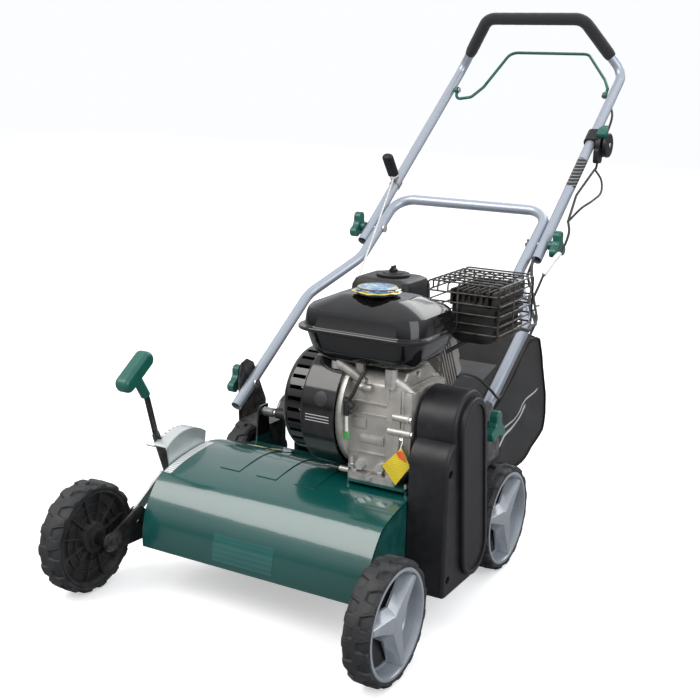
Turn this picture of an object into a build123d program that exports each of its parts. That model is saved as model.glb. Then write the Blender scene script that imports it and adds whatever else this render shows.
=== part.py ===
from build123d import *
import math
import os

# Petrol lawn scarifier on four wheels, with a belt-driven knife rotor, a folding handle
# and a collection bag.  Sizes are in mm.
# X runs across the machine (belt cover on +X; "left" is -X and "right" is +X), Y runs to
# the rear, towards the operator, and Z is up from the ground.  Stations along Y are counted
# from the front wheel axle; ORIGIN_Y is the station of the frame's origin, in the middle of
# the whole length.  A pair of numbers that names a place in side view is (y, z).

os.makedirs("parts", exist_ok=True)

# ---------------------------------------------------------------------------
# Driving dimensions
# ---------------------------------------------------------------------------
ORIGIN_Y = 626.8
RUN_GAP = 0.05            # running clearance on radius

WHEEL_R = 100.0           # tyre radius over the lugs
RIM_R = 88.0              # tyre seat
AXLE_R = 6.0
FRONT_WHEEL_X = (277.0, 323.0)   # inner and outer face
REAR_WHEEL_X = (255.0, 299.0)
FRONT_WHEEL = (0.0, WHEEL_R)
REAR_WHEEL = (488.0, WHEEL_R)

DECK_LEFT, DECK_RIGHT = -212.0, 240.0
DECK_WIDTH = DECK_RIGHT - DECK_LEFT
DECK_SHEET = 2.0
SIDE_SHEET = 3.0
# Upper profile of the deck from front to rear, (y, z)
DECK_TOP = [
    (46, 84), (49, 131), (59, 158), (76, 183), (95, 202), (111, 209),
    (140, 217), (184, 224), (230, 227), (261, 223), (316, 206), (395, 183),
]

CROSS_TUBE = (112.8, 95.2)        # pivot of the front axle cross tube
CROSS_TUBE_R = 10.0
LEVER_PIVOT = (172.0, 163.0)      # pivot of the depth lever
LEVER_BOLT_R = 5.0
LINK_PIN_R = 4.0

ROTOR = (262.0, 103.0)
ROTOR_SHAFT_R = 12.0
ROTOR_TUBE_R = 17.0
CRANK = (268.0, 344.0)
CRANK_SHAFT_R = 10.0
ENGINE_PULLEY_R, ROTOR_PULLEY_R = 30.0, 32.0      # belt seat radii
IDLER = (198.0, 215.0)
IDLER_R = 13.0
IDLER_PIN_R = 4.0
TENSION_PIVOT = (200.0, 272.0)
TENSION_PIN_R = 5.0
ENGINE_BASE_Z = 238.0             # mounting face of the engine
BOLT_GAP = 0.05                   # gap under the heads of loose bolts

TUBE_R, TUBE_BORE_R = 11.0, 9.5   # handle tube
LOWER_PIVOT = (438.0, 289.0)
LOWER_ANGLE = 34.5
LOWER_X = 250.0                   # half width at the pivot
LOWER_TOP_X = 182.0               # half width at the fold joint
FOLD_ALONG = 487.0                # from the pivot to the fold joint
UPPER_ANGLE = 37.3
UPPER_X = 205.0
HANDLE_BOLT_R = 4.0

FLAP_PIVOT = (420.0, 240.0)


# ---------------------------------------------------------------------------
# Datum planes and small helpers
# ---------------------------------------------------------------------------
def plane_x(x, y=0, z=0):
    """Plane across X, centred at y, z: local axes are y and z, extrusion goes +X."""
    return Plane(origin=(x, y - ORIGIN_Y, z), x_dir=(0, 1, 0), z_dir=(1, 0, 0))


def plane_y(y, x=0, z=0):
    """Plane across Y, centred at x, z: local axes are x and z, extrusion goes -Y."""
    return Plane(origin=(x, y - ORIGIN_Y, z), x_dir=(1, 0, 0), z_dir=(0, -1, 0))


def plane_z(z, x=0, y=0):
    """Plane across Z, centred at x, y: local axes are x and y, extrusion goes +Z."""
    return Plane(origin=(x, y - ORIGIN_Y, z), x_dir=(1, 0, 0), z_dir=(0, 0, 1))


def point(x, y, z):
    return Vector(x, y - ORIGIN_Y, z)


def tilted(angle):
    """Unit vector in side view, turned up from +Y by an angle in degrees."""
    return Vector(0, math.cos(math.radians(angle)), math.sin(math.radians(angle)))


def polar(centre, radius, angle):
    return (centre[0] + radius * math.cos(math.radians(angle)),
            centre[1] + radius * math.sin(math.radians(angle)))


def start_x(side, near, far):
    """Lower X of a span between two distances from the middle, on side -1 or 1."""
    return min(side * near, side * far)


def end_rim(builder, axis, index):
    """Outer edges of the first (0) or last (-1) face along an axis."""
    return builder.faces().sort_by(axis)[index].outer_wire().edges()


def save(builder, name):
    builder.part.label = name
    export_step(builder.part, f"parts/{name}.step")


def inset(points, distance):
    """Points moved square to the run of a profile, to its right by a distance."""
    moved = []
    for i, (y, z) in enumerate(points):
        y_before, z_before = points[max(i - 1, 0)]
        y_after, z_after = points[min(i + 1, len(points) - 1)]
        length = math.hypot(y_after - y_before, z_after - z_before)
        moved.append((y + (z_after - z_before) / length * distance,
                      z - (y_after - y_before) / length * distance))
    return moved


def ribbon(points, thickness):
    """Closed outline of a folded sheet about a centre run, with mitred folds."""
    normals = []
    for start, end in zip(points, points[1:]):
        length = math.dist(start, end)
        normals.append(((end[1] - start[1]) / length, (start[0] - end[0]) / length))

    def edge(sign):
        moved = []
        for i, (across, height) in enumerate(points):
            nearby = normals[max(i - 1, 0):i + 1]
            sum_across = sum(normal[0] for normal in nearby)
            sum_height = sum(normal[1] for normal in nearby)
            length = math.hypot(sum_across, sum_height)
            mitre_across, mitre_height = sum_across / length, sum_height / length
            reach = sign * thickness / 2 / (
                mitre_across * nearby[0][0] + mitre_height * nearby[0][1])
            moved.append((across + mitre_across * reach, height + mitre_height * reach))
        return moved

    return edge(1) + edge(-1)[::-1]


def tangents(centre1, radius1, centre2, radius2):
    """Quadrilateral that joins two circles along their outer tangents."""
    step_y, step_z = centre2[0] - centre1[0], centre2[1] - centre1[1]
    heading = math.atan2(step_z, step_y)
    swing = math.acos((radius1 - radius2) / math.hypot(step_y, step_z))
    return [
        (centre[0] + radius * math.cos(heading + sign * swing),
         centre[1] + radius * math.sin(heading + sign * swing))
        for centre, radius, sign in ((centre1, radius1, 1), (centre2, radius2, 1),
                                     (centre2, radius2, -1), (centre1, radius1, -1))
    ]


def bent_run(points, radii):
    """Draws a run through the points with a round bend at each inner one.

    Called inside a BuildLine."""
    previous = points[0]
    for before, corner, after, radius in zip(points, points[1:], points[2:], radii):
        back = (before - corner).normalized()
        ahead = (after - corner).normalized()
        half = math.acos(back.dot(ahead)) / 2
        setback = radius / math.tan(half)
        bend_start, bend_end = corner + back * setback, corner + ahead * setback
        bisector = (back + ahead).normalized()
        middle = corner + bisector * (radius / math.sin(half) - radius)
        if (bend_start - previous).length > 1e-3:     # no straight where two bends meet
            Line(previous, bend_start)
        ThreePointArc(bend_start, middle, bend_end)
        previous = bend_end
    Line(previous, points[-1])


def run_start(points):
    """Plane square to the start of a run."""
    return Plane(origin=points[0], z_dir=points[1] - points[0])


def make_turned(name, centre, steps, bore=0.0):
    """Part turned about X; each step is (x from, x to, radius)."""
    with BuildPart() as turned:
        for x_from, x_to, radius in steps:
            with BuildSketch(plane_x(x_from, *centre)):
                Circle(radius)
                if bore:
                    Circle(bore, mode=Mode.SUBTRACT)
            extrude(amount=x_to - x_from)
    save(turned, name)


def make_rod(name, points, bend_radii, radius, bore=0.0):
    """Round rod or hose swept along a bent run."""
    with BuildPart() as rod:
        with BuildLine():
            bent_run(points, bend_radii)
        with BuildSketch(run_start(points)):
            Circle(radius)
            if bore:
                Circle(bore, mode=Mode.SUBTRACT)
        sweep()
    save(rod, name)


def on_slope(foot, angle, along, x, above):
    along_y, along_z = polar(foot, along, angle)
    return point(x, *polar((along_y, along_z), above, angle + 90))


def on_lower(along, x, above=0.0):
    """Point on the lower handle: along its slope from the pivot, and square above it."""
    return on_slope(LOWER_PIVOT, LOWER_ANGLE, along, x, above)


FOLD = polar(LOWER_PIVOT, FOLD_ALONG, LOWER_ANGLE)


def on_upper(along, x, above=0.0):
    """Point on the upper handle: along its slope from the fold joint, and square above it."""
    return on_slope(FOLD, UPPER_ANGLE, along, x, above)


# ---------------------------------------------------------------------------
# Deck
# ---------------------------------------------------------------------------
RIB_STARTS_X = (-118.0, -41.0, 38.0)
RIB_WIDTH = 41.0
# Run of a pressed rib over the deck, (y, z)
RIB_RUN = [(150, 218.9), (184, 224), (230, 227), (261, 223), (316, 206), (332, 201.3)]

with BuildPart() as deck_shell:
    with BuildSketch(plane_x(DECK_LEFT)):
        with BuildLine():
            outer = Spline(*DECK_TOP)
            inner = Spline(*inset(DECK_TOP, DECK_SHEET))
            Line(outer @ 0, inner @ 0)
            Line(outer @ 1, inner @ 1)
        make_face()
    extrude(amount=DECK_WIDTH)
    # three pressed ribs along the top
    for x in RIB_STARTS_X:
        with BuildSketch(plane_x(x)):
            with BuildLine():
                outer = Spline(*inset(RIB_RUN, -1.6))
                inner = Spline(*inset(RIB_RUN, 0.8))
                Line(outer @ 0, inner @ 0)
                Line(outer @ 1, inner @ 1)
            make_face()
        extrude(amount=RIB_WIDTH)
    # return lip along the front bottom edge
    with BuildSketch(plane_x(DECK_LEFT, 52.5, 85)):
        Rectangle(12, 2)
    extrude(amount=DECK_WIDTH)
save(deck_shell, "deck_shell")

# Side plate outline, (y, z): follows the deck at 5 mm, then rises behind it to the flap rod
SIDE_OUTLINE = [
    (57, 92), *inset(DECK_TOP, 5.0)[1:-1],
    (397.5, 178), (404, 252), (437, 252), (446, 172), (500, 152),
    (512, 120), (512, 84), (75, 84), (67, 92),
]
BEARING_R = 26.0
BUSH_R = 14.0

with BuildPart() as deck_sides:
    for x in (DECK_LEFT, DECK_RIGHT - SIDE_SHEET):
        with BuildSketch(plane_x(x)):
            with BuildLine():
                Polyline(*SIDE_OUTLINE, close=True)
            make_face()
            with Locations(ROTOR):
                Circle(BEARING_R, mode=Mode.SUBTRACT)
            with Locations(CROSS_TUBE):
                Circle(BUSH_R, mode=Mode.SUBTRACT)
            with Locations(REAR_WHEEL, FLAP_PIVOT):
                Circle(AXLE_R, mode=Mode.SUBTRACT)
        extrude(amount=SIDE_SHEET)
    # cross angle under the deck, in front of the rear axle
    with BuildSketch(plane_x(DECK_LEFT + SIDE_SHEET)):
        with BuildLine():
            Polyline(*ribbon([(395, 172), (425, 160), (425, 140)], 2.5), close=True)
        make_face()
    extrude(amount=DECK_WIDTH - 2 * SIDE_SHEET)
save(deck_sides, "deck_sides")

BRACKET_PLATE = 5.0
BRACKET_WEBS_X = (118, 228)

with BuildPart() as engine_bracket:
    with BuildSketch(plane_z(ENGINE_BASE_Z - BRACKET_PLATE, 175, 273)):
        RectangleRounded(114, 174, 8)
    extrude(amount=BRACKET_PLATE)
    # webs that stand on the curve of the deck
    for x in BRACKET_WEBS_X:
        with BuildSketch(plane_x(x)):
            with BuildLine():
                Spline(*DECK_TOP)
                Polyline(DECK_TOP[-1], (420, 183), (420, 240), (25, 240), (25, 84), DECK_TOP[0])
            make_face()
            with Locations((273, 183)):
                Rectangle(164, 100.5, mode=Mode.INTERSECT)
        extrude(amount=4)
save(engine_bracket, "engine_bracket")

# Outline of the handle brackets in side view, (y, z)
HANDLE_BRACKET_OUTLINE = [
    (414, 190), (412, 300), (420, 330), (440, 336), (462, 325), (508, 236), (508, 125),
    (495, 116), (470, 120), (440, 150),
]

with BuildPart() as handle_brackets:
    for side, foot_x in ((-1, 213.5), (1, 241.5)):
        fold_run = [(side * foot_x, 100), (side * foot_x, 203),
                    (side * 263.5, 213), (side * 263.5, 336)]
        with BuildSketch(plane_y(508)):
            with BuildLine():
                Polyline(*ribbon(fold_run, 3), close=True)
            make_face()
        extrude(amount=98)
    # both folded strips are trimmed to the side outline
    with BuildSketch(plane_x(-270)):
        with BuildLine():
            Polyline(*HANDLE_BRACKET_OUTLINE, close=True)
        make_face()
        with Locations(LOWER_PIVOT):
            Circle(HANDLE_BOLT_R + 0.3, mode=Mode.SUBTRACT)
    extrude(amount=540, mode=Mode.INTERSECT)
save(handle_brackets, "handle_brackets")

# Axle with spacer collars on both sides of the deck sides
make_turned("rear_axle", REAR_WHEEL, [
    (-297, 297, AXLE_R), (-254.5, -216, 10), (244.5, 254.5, 10),
    (-206, -190, 10), (220, 236, 10),
])

# Bushes of the front cross tube, then rotor bearings: x from, x to, centre, radius, bore
BEARING_RINGS = [
    (-217, -206, CROSS_TUBE, BUSH_R, CROSS_TUBE_R + RUN_GAP),
    (234, 242, CROSS_TUBE, BUSH_R, CROSS_TUBE_R + RUN_GAP),
    (-217, -207, ROTOR, BEARING_R, ROTOR_SHAFT_R + RUN_GAP),
    (230, 240, ROTOR, BEARING_R, ROTOR_SHAFT_R + RUN_GAP),
]

with BuildPart() as bearings:
    for x_from, x_to, centre, radius, bore in BEARING_RINGS:
        with BuildSketch(plane_x(x_from, *centre)):
            Circle(radius)
            Circle(bore, mode=Mode.SUBTRACT)
        extrude(amount=x_to - x_from)
save(bearings, "bearings")

# Depth sector: web on the left deck side, notched flange turned outwards
SECTOR = (176.0, 166.0)
SECTOR_R = 100.0
WEB_R = SECTOR_R - 1
FLANGE_X = -242.0        # outer edge of the flange
NOTCHES, NOTCH_FIRST, NOTCH_PITCH = 9, 60, 7.0       # count, degrees, degrees

with BuildPart() as depth_sector:
    with BuildSketch(plane_x(DECK_LEFT - 3)):
        with BuildLine():
            ThreePointArc(polar(SECTOR, WEB_R, 125), polar(SECTOR, WEB_R, 90),
                          polar(SECTOR, WEB_R, 55))
            Polyline(polar(SECTOR, WEB_R, 55), (226, 196), (200, 186), (150, 180), (128, 190),
                     polar(SECTOR, WEB_R, 125))
        make_face()
    extrude(amount=3)
    with BuildSketch(plane_x(FLANGE_X)):
        with Locations(SECTOR):
            Circle(SECTOR_R)
            Circle(SECTOR_R - 2.5, mode=Mode.SUBTRACT)
        with BuildLine():
            Polyline(SECTOR, polar(SECTOR, 180, 126), polar(SECTOR, 180, 54), close=True)
        make_face(mode=Mode.INTERSECT)
    extrude(amount=29)
    # notches in the outer edge of the flange
    for k in range(NOTCHES):
        angle = NOTCH_FIRST + k * NOTCH_PITCH
        origin = point(FLANGE_X, *polar(SECTOR, WEB_R, angle))
        with BuildSketch(Plane(origin=origin, x_dir=(1, 0, 0), z_dir=tilted(angle))):
            RectangleRounded(13, 6, 2.5)
        extrude(amount=5, both=True, mode=Mode.SUBTRACT)
    # end stop in front of the lever
    with BuildSketch(plane_x(-259)):
        with BuildLine():
            Polyline(polar(SECTOR, 96.5, 123.8), polar(SECTOR, 101, 123.8),
                     polar(SECTOR, 101, 127.5), polar(SECTOR, 96.5, 127.5), close=True)
        make_face()
    extrude(amount=20)
save(depth_sector, "depth_sector")

COVER_SCREWS = [(190, 280), (196, 92)]
# Hexagon heads on the deck sides: sector bolts, then handle bracket bolts, (x, y, z)
DECK_HEADS = [
    (-219, 152, 196), (-219, 214, 200),
    (-219, 470, 150), (-219, 496, 180), (243, 470, 150), (243, 496, 180),
]

# Lever bolt, tension arm bolt and deck fasteners, as separate solids
with BuildPart() as chassis_bolts:
    with BuildSketch(plane_x(-256, *LEVER_PIVOT)):
        RegularPolygon(7.5, 6)
    extrude(amount=5)
    with BuildSketch(plane_x(-251, *LEVER_PIVOT)):
        Circle(LEVER_BOLT_R)
    extrude(amount=39)
    for place in DECK_HEADS:
        with BuildSketch(plane_x(*place)):
            RegularPolygon(6, 6)
        extrude(amount=4)
    for y in (200, 345):
        with BuildSketch(plane_z(ENGINE_BASE_Z + BOLT_GAP, 227, y)):
            RegularPolygon(4.5, 6)
        extrude(amount=5)
    # slotted screws in the belt cover
    for centre in COVER_SCREWS:
        with BuildSketch(plane_x(303, *centre)):
            Circle(5.5)
        extrude(amount=4)
        with BuildSketch(plane_x(307, *centre)):
            SlotOverall(7, 1.2)
        extrude(amount=-1.5, mode=Mode.SUBTRACT)
    with BuildSketch(plane_x(244.5, *TENSION_PIVOT)):
        Circle(TENSION_PIN_R)
    extrude(amount=12)
    with BuildSketch(plane_x(256, *TENSION_PIVOT)):
        RegularPolygon(8, 6)
    extrude(amount=4)
save(chassis_bolts, "chassis_bolts")

# Hinge rod with a head at each end
make_turned("flap_rod", FLAP_PIVOT, [(-217, 245, AXLE_R), (-217, -214, 9), (241, 244, 9)])

with BuildPart() as flap_spring:
    with BuildLine():
        coil = Helix(pitch=3.4, height=23.8, radius=8.2, center=point(-205, *FLAP_PIVOT),
                     direction=(1, 0, 0))
    with BuildSketch(Plane(origin=coil @ 0, z_dir=coil % 0)):
        Circle(1.2)
    sweep()
save(flap_spring, "flap_spring")

# ---------------------------------------------------------------------------
# Belt drive
# ---------------------------------------------------------------------------
COVER_TOP = (CRANK[0] - 6, CRANK[1])      # centres of the rounds of the cover outline
COVER_LOW = (288.0, 121.0)
COVER_LOBE = (222.0, 288.0)
COVER_R, LOBE_R, CORNER_R = 61.0, 44.0, 14.0
COVER_FRONT_Y, COVER_BOTTOM_Z = 178.0, 60.0
COVER_WALL = 3.0
COVER_SPLIT_X = 263.0                     # joint of the cover and its back


def cover_outline(inward):
    """Side outline of the belt cover moved inwards; called inside a BuildLine."""
    round_r, lobe_r, corner_r = COVER_R - inward, LOBE_R - inward, CORNER_R - inward
    front, bottom = COVER_FRONT_Y + inward, COVER_BOTTOM_Z + inward
    # rear tangent of the upper and lower rounds
    step_y, step_z = COVER_LOW[0] - COVER_TOP[0], COVER_LOW[1] - COVER_TOP[1]
    length = math.hypot(step_y, step_z)
    normal_y, normal_z = -step_z / length, step_y / length
    tangent_top = (COVER_TOP[0] + round_r * normal_y, COVER_TOP[1] + round_r * normal_z)
    tangent_low = (COVER_LOW[0] + round_r * normal_y, COVER_LOW[1] + round_r * normal_z)
    # where the front lobe runs into the upper round
    lobe_y, lobe_z = COVER_LOBE[0] - COVER_TOP[0], COVER_LOBE[1] - COVER_TOP[1]
    span = math.hypot(lobe_y, lobe_z)
    chord_at = (round_r ** 2 - lobe_r ** 2 + span ** 2) / (2 * span)
    half_chord = math.sqrt(round_r ** 2 - chord_at ** 2)
    meet = (COVER_TOP[0] + lobe_y / span * chord_at + lobe_z / span * half_chord,
            COVER_TOP[1] + lobe_z / span * chord_at - lobe_y / span * half_chord)
    lobe_angle = math.degrees(math.atan2(meet[1] - COVER_LOBE[1], meet[0] - COVER_LOBE[0]))
    top_angle = math.degrees(math.atan2(meet[1] - COVER_TOP[1], meet[0] - COVER_TOP[0])) % 360
    rear_angle = math.degrees(math.atan2(normal_z, normal_y))
    corner = (front + corner_r, bottom + corner_r)

    ThreePointArc(meet, polar(COVER_TOP, round_r, (top_angle + rear_angle) / 2), tangent_top)
    Line(tangent_top, tangent_low)
    ThreePointArc(tangent_low, polar(COVER_LOW, round_r, (rear_angle - 90) / 2),
                  (COVER_LOW[0], bottom))
    Line((COVER_LOW[0], bottom), (corner[0], bottom))
    ThreePointArc((corner[0], bottom), polar(corner, corner_r, 225), (front, corner[1]))
    Line((front, corner[1]), (front, COVER_LOBE[1]))
    ThreePointArc((front, COVER_LOBE[1]), polar(COVER_LOBE, lobe_r, (180 + lobe_angle) / 2),
                  meet)


with BuildPart() as belt_cover:
    with BuildSketch(plane_x(COVER_SPLIT_X)):
        with BuildLine():
            cover_outline(0)
        make_face()
    extrude(amount=49)
    fillet(end_rim(belt_cover, Axis.X, -1), 7)
    with BuildSketch(plane_x(COVER_SPLIT_X)):
        with BuildLine():
            cover_outline(COVER_WALL)
        make_face()
    extrude(amount=49 - COVER_WALL, mode=Mode.SUBTRACT)
    # raised racetrack over the belt run
    with BuildSketch(plane_x(311)):
        with Locations(COVER_TOP):
            Circle(49)
        with Locations(COVER_LOW):
            Circle(50)
        with BuildLine():
            Polyline(*tangents(COVER_TOP, 49, COVER_LOW, 50), close=True)
        make_face()
    extrude(amount=10)
    fillet(end_rim(belt_cover, Axis.X, -1), 4)
    # dish inside the racetrack
    with BuildSketch(plane_x(321)):
        with Locations(COVER_TOP):
            Circle(38)
        with Locations(COVER_LOW):
            Circle(39)
        with BuildLine():
            Polyline(*tangents(COVER_TOP, 38, COVER_LOW, 39), close=True)
        make_face()
    extrude(amount=-3, mode=Mode.SUBTRACT)
    with BuildSketch(plane_x(302)):
        with Locations(*COVER_SCREWS):
            Circle(7)
    extrude(amount=12, mode=Mode.SUBTRACT)
save(belt_cover, "belt_cover")

with BuildPart() as belt_cover_back:
    with BuildSketch(plane_x(242)):
        with BuildLine():
            cover_outline(0)
        make_face()
    extrude(amount=COVER_SPLIT_X - 242)
    with BuildSketch(plane_x(244.5)):
        with BuildLine():
            cover_outline(COVER_WALL)
        make_face()
    extrude(amount=20, mode=Mode.SUBTRACT)
    # holes for the two shafts
    with BuildSketch(plane_x(240)):
        with Locations(CRANK):
            Circle(17)
        with Locations(ROTOR):
            Circle(BEARING_R + 2)
    extrude(amount=6, mode=Mode.SUBTRACT)
save(belt_cover_back, "belt_cover_back")

BELT_THICKNESS = 6.5

# The belt is the outer loop less the inner one
with BuildPart() as drive_belt:
    for outward, mode in ((BELT_THICKNESS, Mode.ADD), (0.0, Mode.SUBTRACT)):
        engine_r, rotor_r = ENGINE_PULLEY_R + outward, ROTOR_PULLEY_R + outward
        with BuildSketch(plane_x(266)):
            with Locations(CRANK):
                Circle(engine_r)
            with Locations(ROTOR):
                Circle(rotor_r)
            with BuildLine():
                Polyline(*tangents(CRANK, engine_r, ROTOR, rotor_r), close=True)
            make_face()
        extrude(amount=9, mode=mode)
save(drive_belt, "drive_belt")


def pulley_steps(seat_r, flange_r):
    """Groove and two flanges of a belt pulley; the groove clears the belt by 0.8."""
    return [(264, 277, seat_r - 0.8), (261.5, 264.5, flange_r), (276.5, 279.5, flange_r)]


# Shaft, pulley, flywheel, hub and end nut
CRANKSHAFT_STEPS = [
    (14, 282, CRANK_SHAFT_R), *pulley_steps(ENGINE_PULLEY_R, 33.5),
    (40, 52, 87), (20, 40, 22), (282, 286, 13),
]

with BuildPart() as crankshaft:
    for x_from, x_to, radius in CRANKSHAFT_STEPS:
        with BuildSketch(plane_x(x_from, *CRANK)):
            Circle(radius)
        extrude(amount=x_to - x_from)
    # fan blades on the flywheel
    with BuildSketch(plane_x(26, *CRANK)):
        with PolarLocations(66, 14):
            Rectangle(44, 3)
    extrude(amount=15)
    with BuildSketch(plane_x(52, *CRANK)):
        Circle(60)
    extrude(amount=30)
save(crankshaft, "crankshaft")

make_turned("rotor_shaft", ROTOR, [
    (-222, 282, ROTOR_SHAFT_R), *pulley_steps(ROTOR_PULLEY_R, 36.5),
    (-200, 225, ROTOR_TUBE_R), (282, 287, 15),
])

KNIVES, KNIFE_PITCH, KNIFE_TWIST = 15, 28.0, 24.0     # count, mm, degrees
# One of the four teeth of a knife, lying along its local X
KNIFE_TOOTH = [(0, -15), (58, -15), (90, -4), (88, 4), (60, 4), (26, 15), (0, 15)]

with BuildPart() as rotor_knives:
    for k in range(KNIVES):
        with BuildSketch(Plane(origin=point(-190 + k * KNIFE_PITCH, *ROTOR),
                               x_dir=tilted(k * KNIFE_TWIST), z_dir=(1, 0, 0))):
            Circle(30)
            with PolarLocations(0, 4):
                Polygon(*KNIFE_TOOTH, align=None)
            Circle(ROTOR_TUBE_R, mode=Mode.SUBTRACT)
        extrude(amount=3)
save(rotor_knives, "rotor_knives")

with BuildPart() as tension_arm:
    with BuildSketch(plane_x(251)):
        with Locations(TENSION_PIVOT):
            Circle(10)
        with Locations(IDLER):
            Circle(8)
        with BuildLine():
            Polyline(*tangents(TENSION_PIVOT, 10, IDLER, 8), close=True)
        make_face()
        with Locations(TENSION_PIVOT):
            Circle(TENSION_PIN_R + RUN_GAP, mode=Mode.SUBTRACT)
    extrude(amount=4)
    with BuildSketch(plane_x(254, *IDLER)):
        Circle(IDLER_PIN_R)
    extrude(amount=28)
save(tension_arm, "tension_arm")

make_turned("idler_pulley", IDLER, [
    (263, 278, IDLER_R), (261, 263, IDLER_R + 2.5), (278, 280, IDLER_R + 2.5),
], bore=IDLER_PIN_R + RUN_GAP)

# ---------------------------------------------------------------------------
# Engine
# ---------------------------------------------------------------------------
# Crankcase and its wider drive-side cover in side view, (y, z)
CASE_OUTLINE = [
    (199, 246), (345, 246), (347, 330), (330, 400), (300, 424), (222, 424), (203, 404),
    (197, 350),
]
CASE_COVER_OUTLINE = [
    (194, 244), (350, 244), (352, 332), (334, 404), (302, 428), (219, 428), (199, 407),
    (192, 350),
]
FOOT_THICKNESS = 12.0

with BuildPart() as crankcase:
    with BuildSketch(plane_x(116)):
        with BuildLine():
            Polyline(*CASE_OUTLINE, close=True)
        make_face()
    extrude(amount=76)
    fillet(crankcase.edges().filter_by(Axis.X), 9)
    # mounting foot
    with BuildSketch(plane_z(ENGINE_BASE_Z, 163.5, 273)):
        RectangleRounded(91, 168, 6)
    extrude(amount=FOOT_THICKNESS)
    # tank posts cast with the case
    with BuildSketch(plane_z(380)):
        with Locations((126, 213), (186, 213), (126, 312), (186, 312)):
            Circle(9)
    extrude(amount=57.9)
    # backing plate of the fan, cut off above and behind
    with BuildSketch(plane_x(106)):
        with Locations(CRANK):
            Circle(101)
        with Locations((CRANK[0], 500)):
            Rectangle(240, 130, mode=Mode.SUBTRACT)
        with Locations((400, CRANK[1])):
            Rectangle(90, 240, mode=Mode.SUBTRACT)
    extrude(amount=10)
    # side cover with round bosses on the drive side
    with BuildSketch(plane_x(190)):
        with BuildLine():
            Polyline(*CASE_COVER_OUTLINE, close=True)
        make_face()
    extrude(amount=24)
    fillet(end_rim(crankcase, Axis.X, -1), 4)
    with BuildSketch(plane_x(212, *CRANK)):
        Circle(34)
    extrude(amount=10)
    with BuildSketch(plane_x(212)):
        with Locations((240, 280), (300, 275), (228, 392)):
            Circle(13)
    extrude(amount=5)
    # bore for the crankshaft
    with BuildSketch(plane_x(100, *CRANK)):
        Circle(CRANK_SHAFT_R + RUN_GAP)
    extrude(amount=130, mode=Mode.SUBTRACT)
save(crankcase, "crankcase")

# The cylinder lies to the rear of the crank, tilted up; offsets run along its axis
CYLINDER_DIR = tilted(28)
CYLINDER_PLANE = Plane(origin=point(164.2, *CRANK), x_dir=(1, 0, 0), z_dir=CYLINDER_DIR)
FINS, FIN_FIRST, FIN_PITCH = 7, 90, 8.5
HEAD_TOP = 168

with BuildPart() as cylinder:
    with BuildSketch(CYLINDER_PLANE.offset(86)):
        RectangleRounded(84, 84, 20)
    extrude(amount=88)
    for k in range(FINS):
        with BuildSketch(CYLINDER_PLANE.offset(FIN_FIRST + k * FIN_PITCH)):
            RectangleRounded(96, 106, 14)
        extrude(amount=3)
    with BuildSketch(CYLINDER_PLANE.offset(HEAD_TOP - 18)):
        RectangleRounded(96, 98, 10)
    extrude(amount=18)
    # valve cover and its flange
    with BuildSketch(CYLINDER_PLANE.offset(HEAD_TOP)):
        RectangleRounded(82, 74, 16)
    extrude(amount=22)
    fillet(end_rim(cylinder, Axis((0, 0, 0), CYLINDER_DIR), -1), 8)
    with BuildSketch(CYLINDER_PLANE.offset(HEAD_TOP)):
        RectangleRounded(90, 82, 10)
    extrude(amount=3)
    # room for the crankcase and the tank corner
    with BuildSketch(plane_x(100)):
        with Locations((277, 333.5)):
            Rectangle(150.4, 207)
        with Locations((334.7, 439.7)):
            Rectangle(19.6, 7.6)
    extrude(amount=120, mode=Mode.SUBTRACT)
save(cylinder, "cylinder")

FAN_COVER_R = 109.0
FAN_COVER_WALL = 3.0
FAN_LOBE = (CRANK[0] + 50, CRANK[1] + 30)      # block that reaches back to the cylinder
RECOIL_R = 94.0
RECOIL_X = -8.0

with BuildPart() as fan_cover:
    with BuildSketch(plane_x(40)):
        with Locations(CRANK):
            Circle(FAN_COVER_R)
        with Locations(FAN_LOBE):
            RectangleRounded(100, 130, 30)
    extrude(amount=65.5)
    fillet(end_rim(fan_cover, Axis.X, 0), 5)
    with BuildSketch(plane_x(42.5)):
        with Locations(CRANK):
            Circle(FAN_COVER_R - FAN_COVER_WALL)
        with Locations(FAN_LOBE):
            RectangleRounded(100 - 2 * FAN_COVER_WALL, 130 - 2 * FAN_COVER_WALL,
                             30 - FAN_COVER_WALL)
    extrude(amount=80, mode=Mode.SUBTRACT)
    # recoil housing, dished on its outer face
    with BuildSketch(plane_x(RECOIL_X, *CRANK)):
        Circle(RECOIL_R)
    extrude(amount=49)
    fillet(end_rim(fan_cover, Axis.X, 0), 14)
    with BuildSketch(plane_x(-5, *CRANK)):
        Circle(80)
    extrude(amount=10, mode=Mode.SUBTRACT)
    with BuildSketch(plane_x(5, *CRANK)):
        Circle(90)
    extrude(amount=60, mode=Mode.SUBTRACT)
    with BuildSketch(plane_x(RECOIL_X, *CRANK)):
        Circle(60)
    extrude(amount=4)
    # slots around the side of the recoil housing
    with BuildSketch(plane_x(6, *CRANK)):
        with PolarLocations(RECOIL_R, 30):
            Rectangle(20, 7)
    extrude(amount=26, mode=Mode.SUBTRACT)
    # opening behind the recoil housing
    with BuildSketch(plane_x(34, *CRANK)):
        Circle(89.5)
    extrude(amount=10, mode=Mode.SUBTRACT)
    # flat top under the tank
    with BuildSketch(plane_x(-20, CRANK[0], 497)):
        Rectangle(260, 120)
    extrude(amount=150, mode=Mode.SUBTRACT)
save(fan_cover, "fan_cover")

TANK_XY = (140, 250)
CAP_XY = (141, 238)

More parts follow.
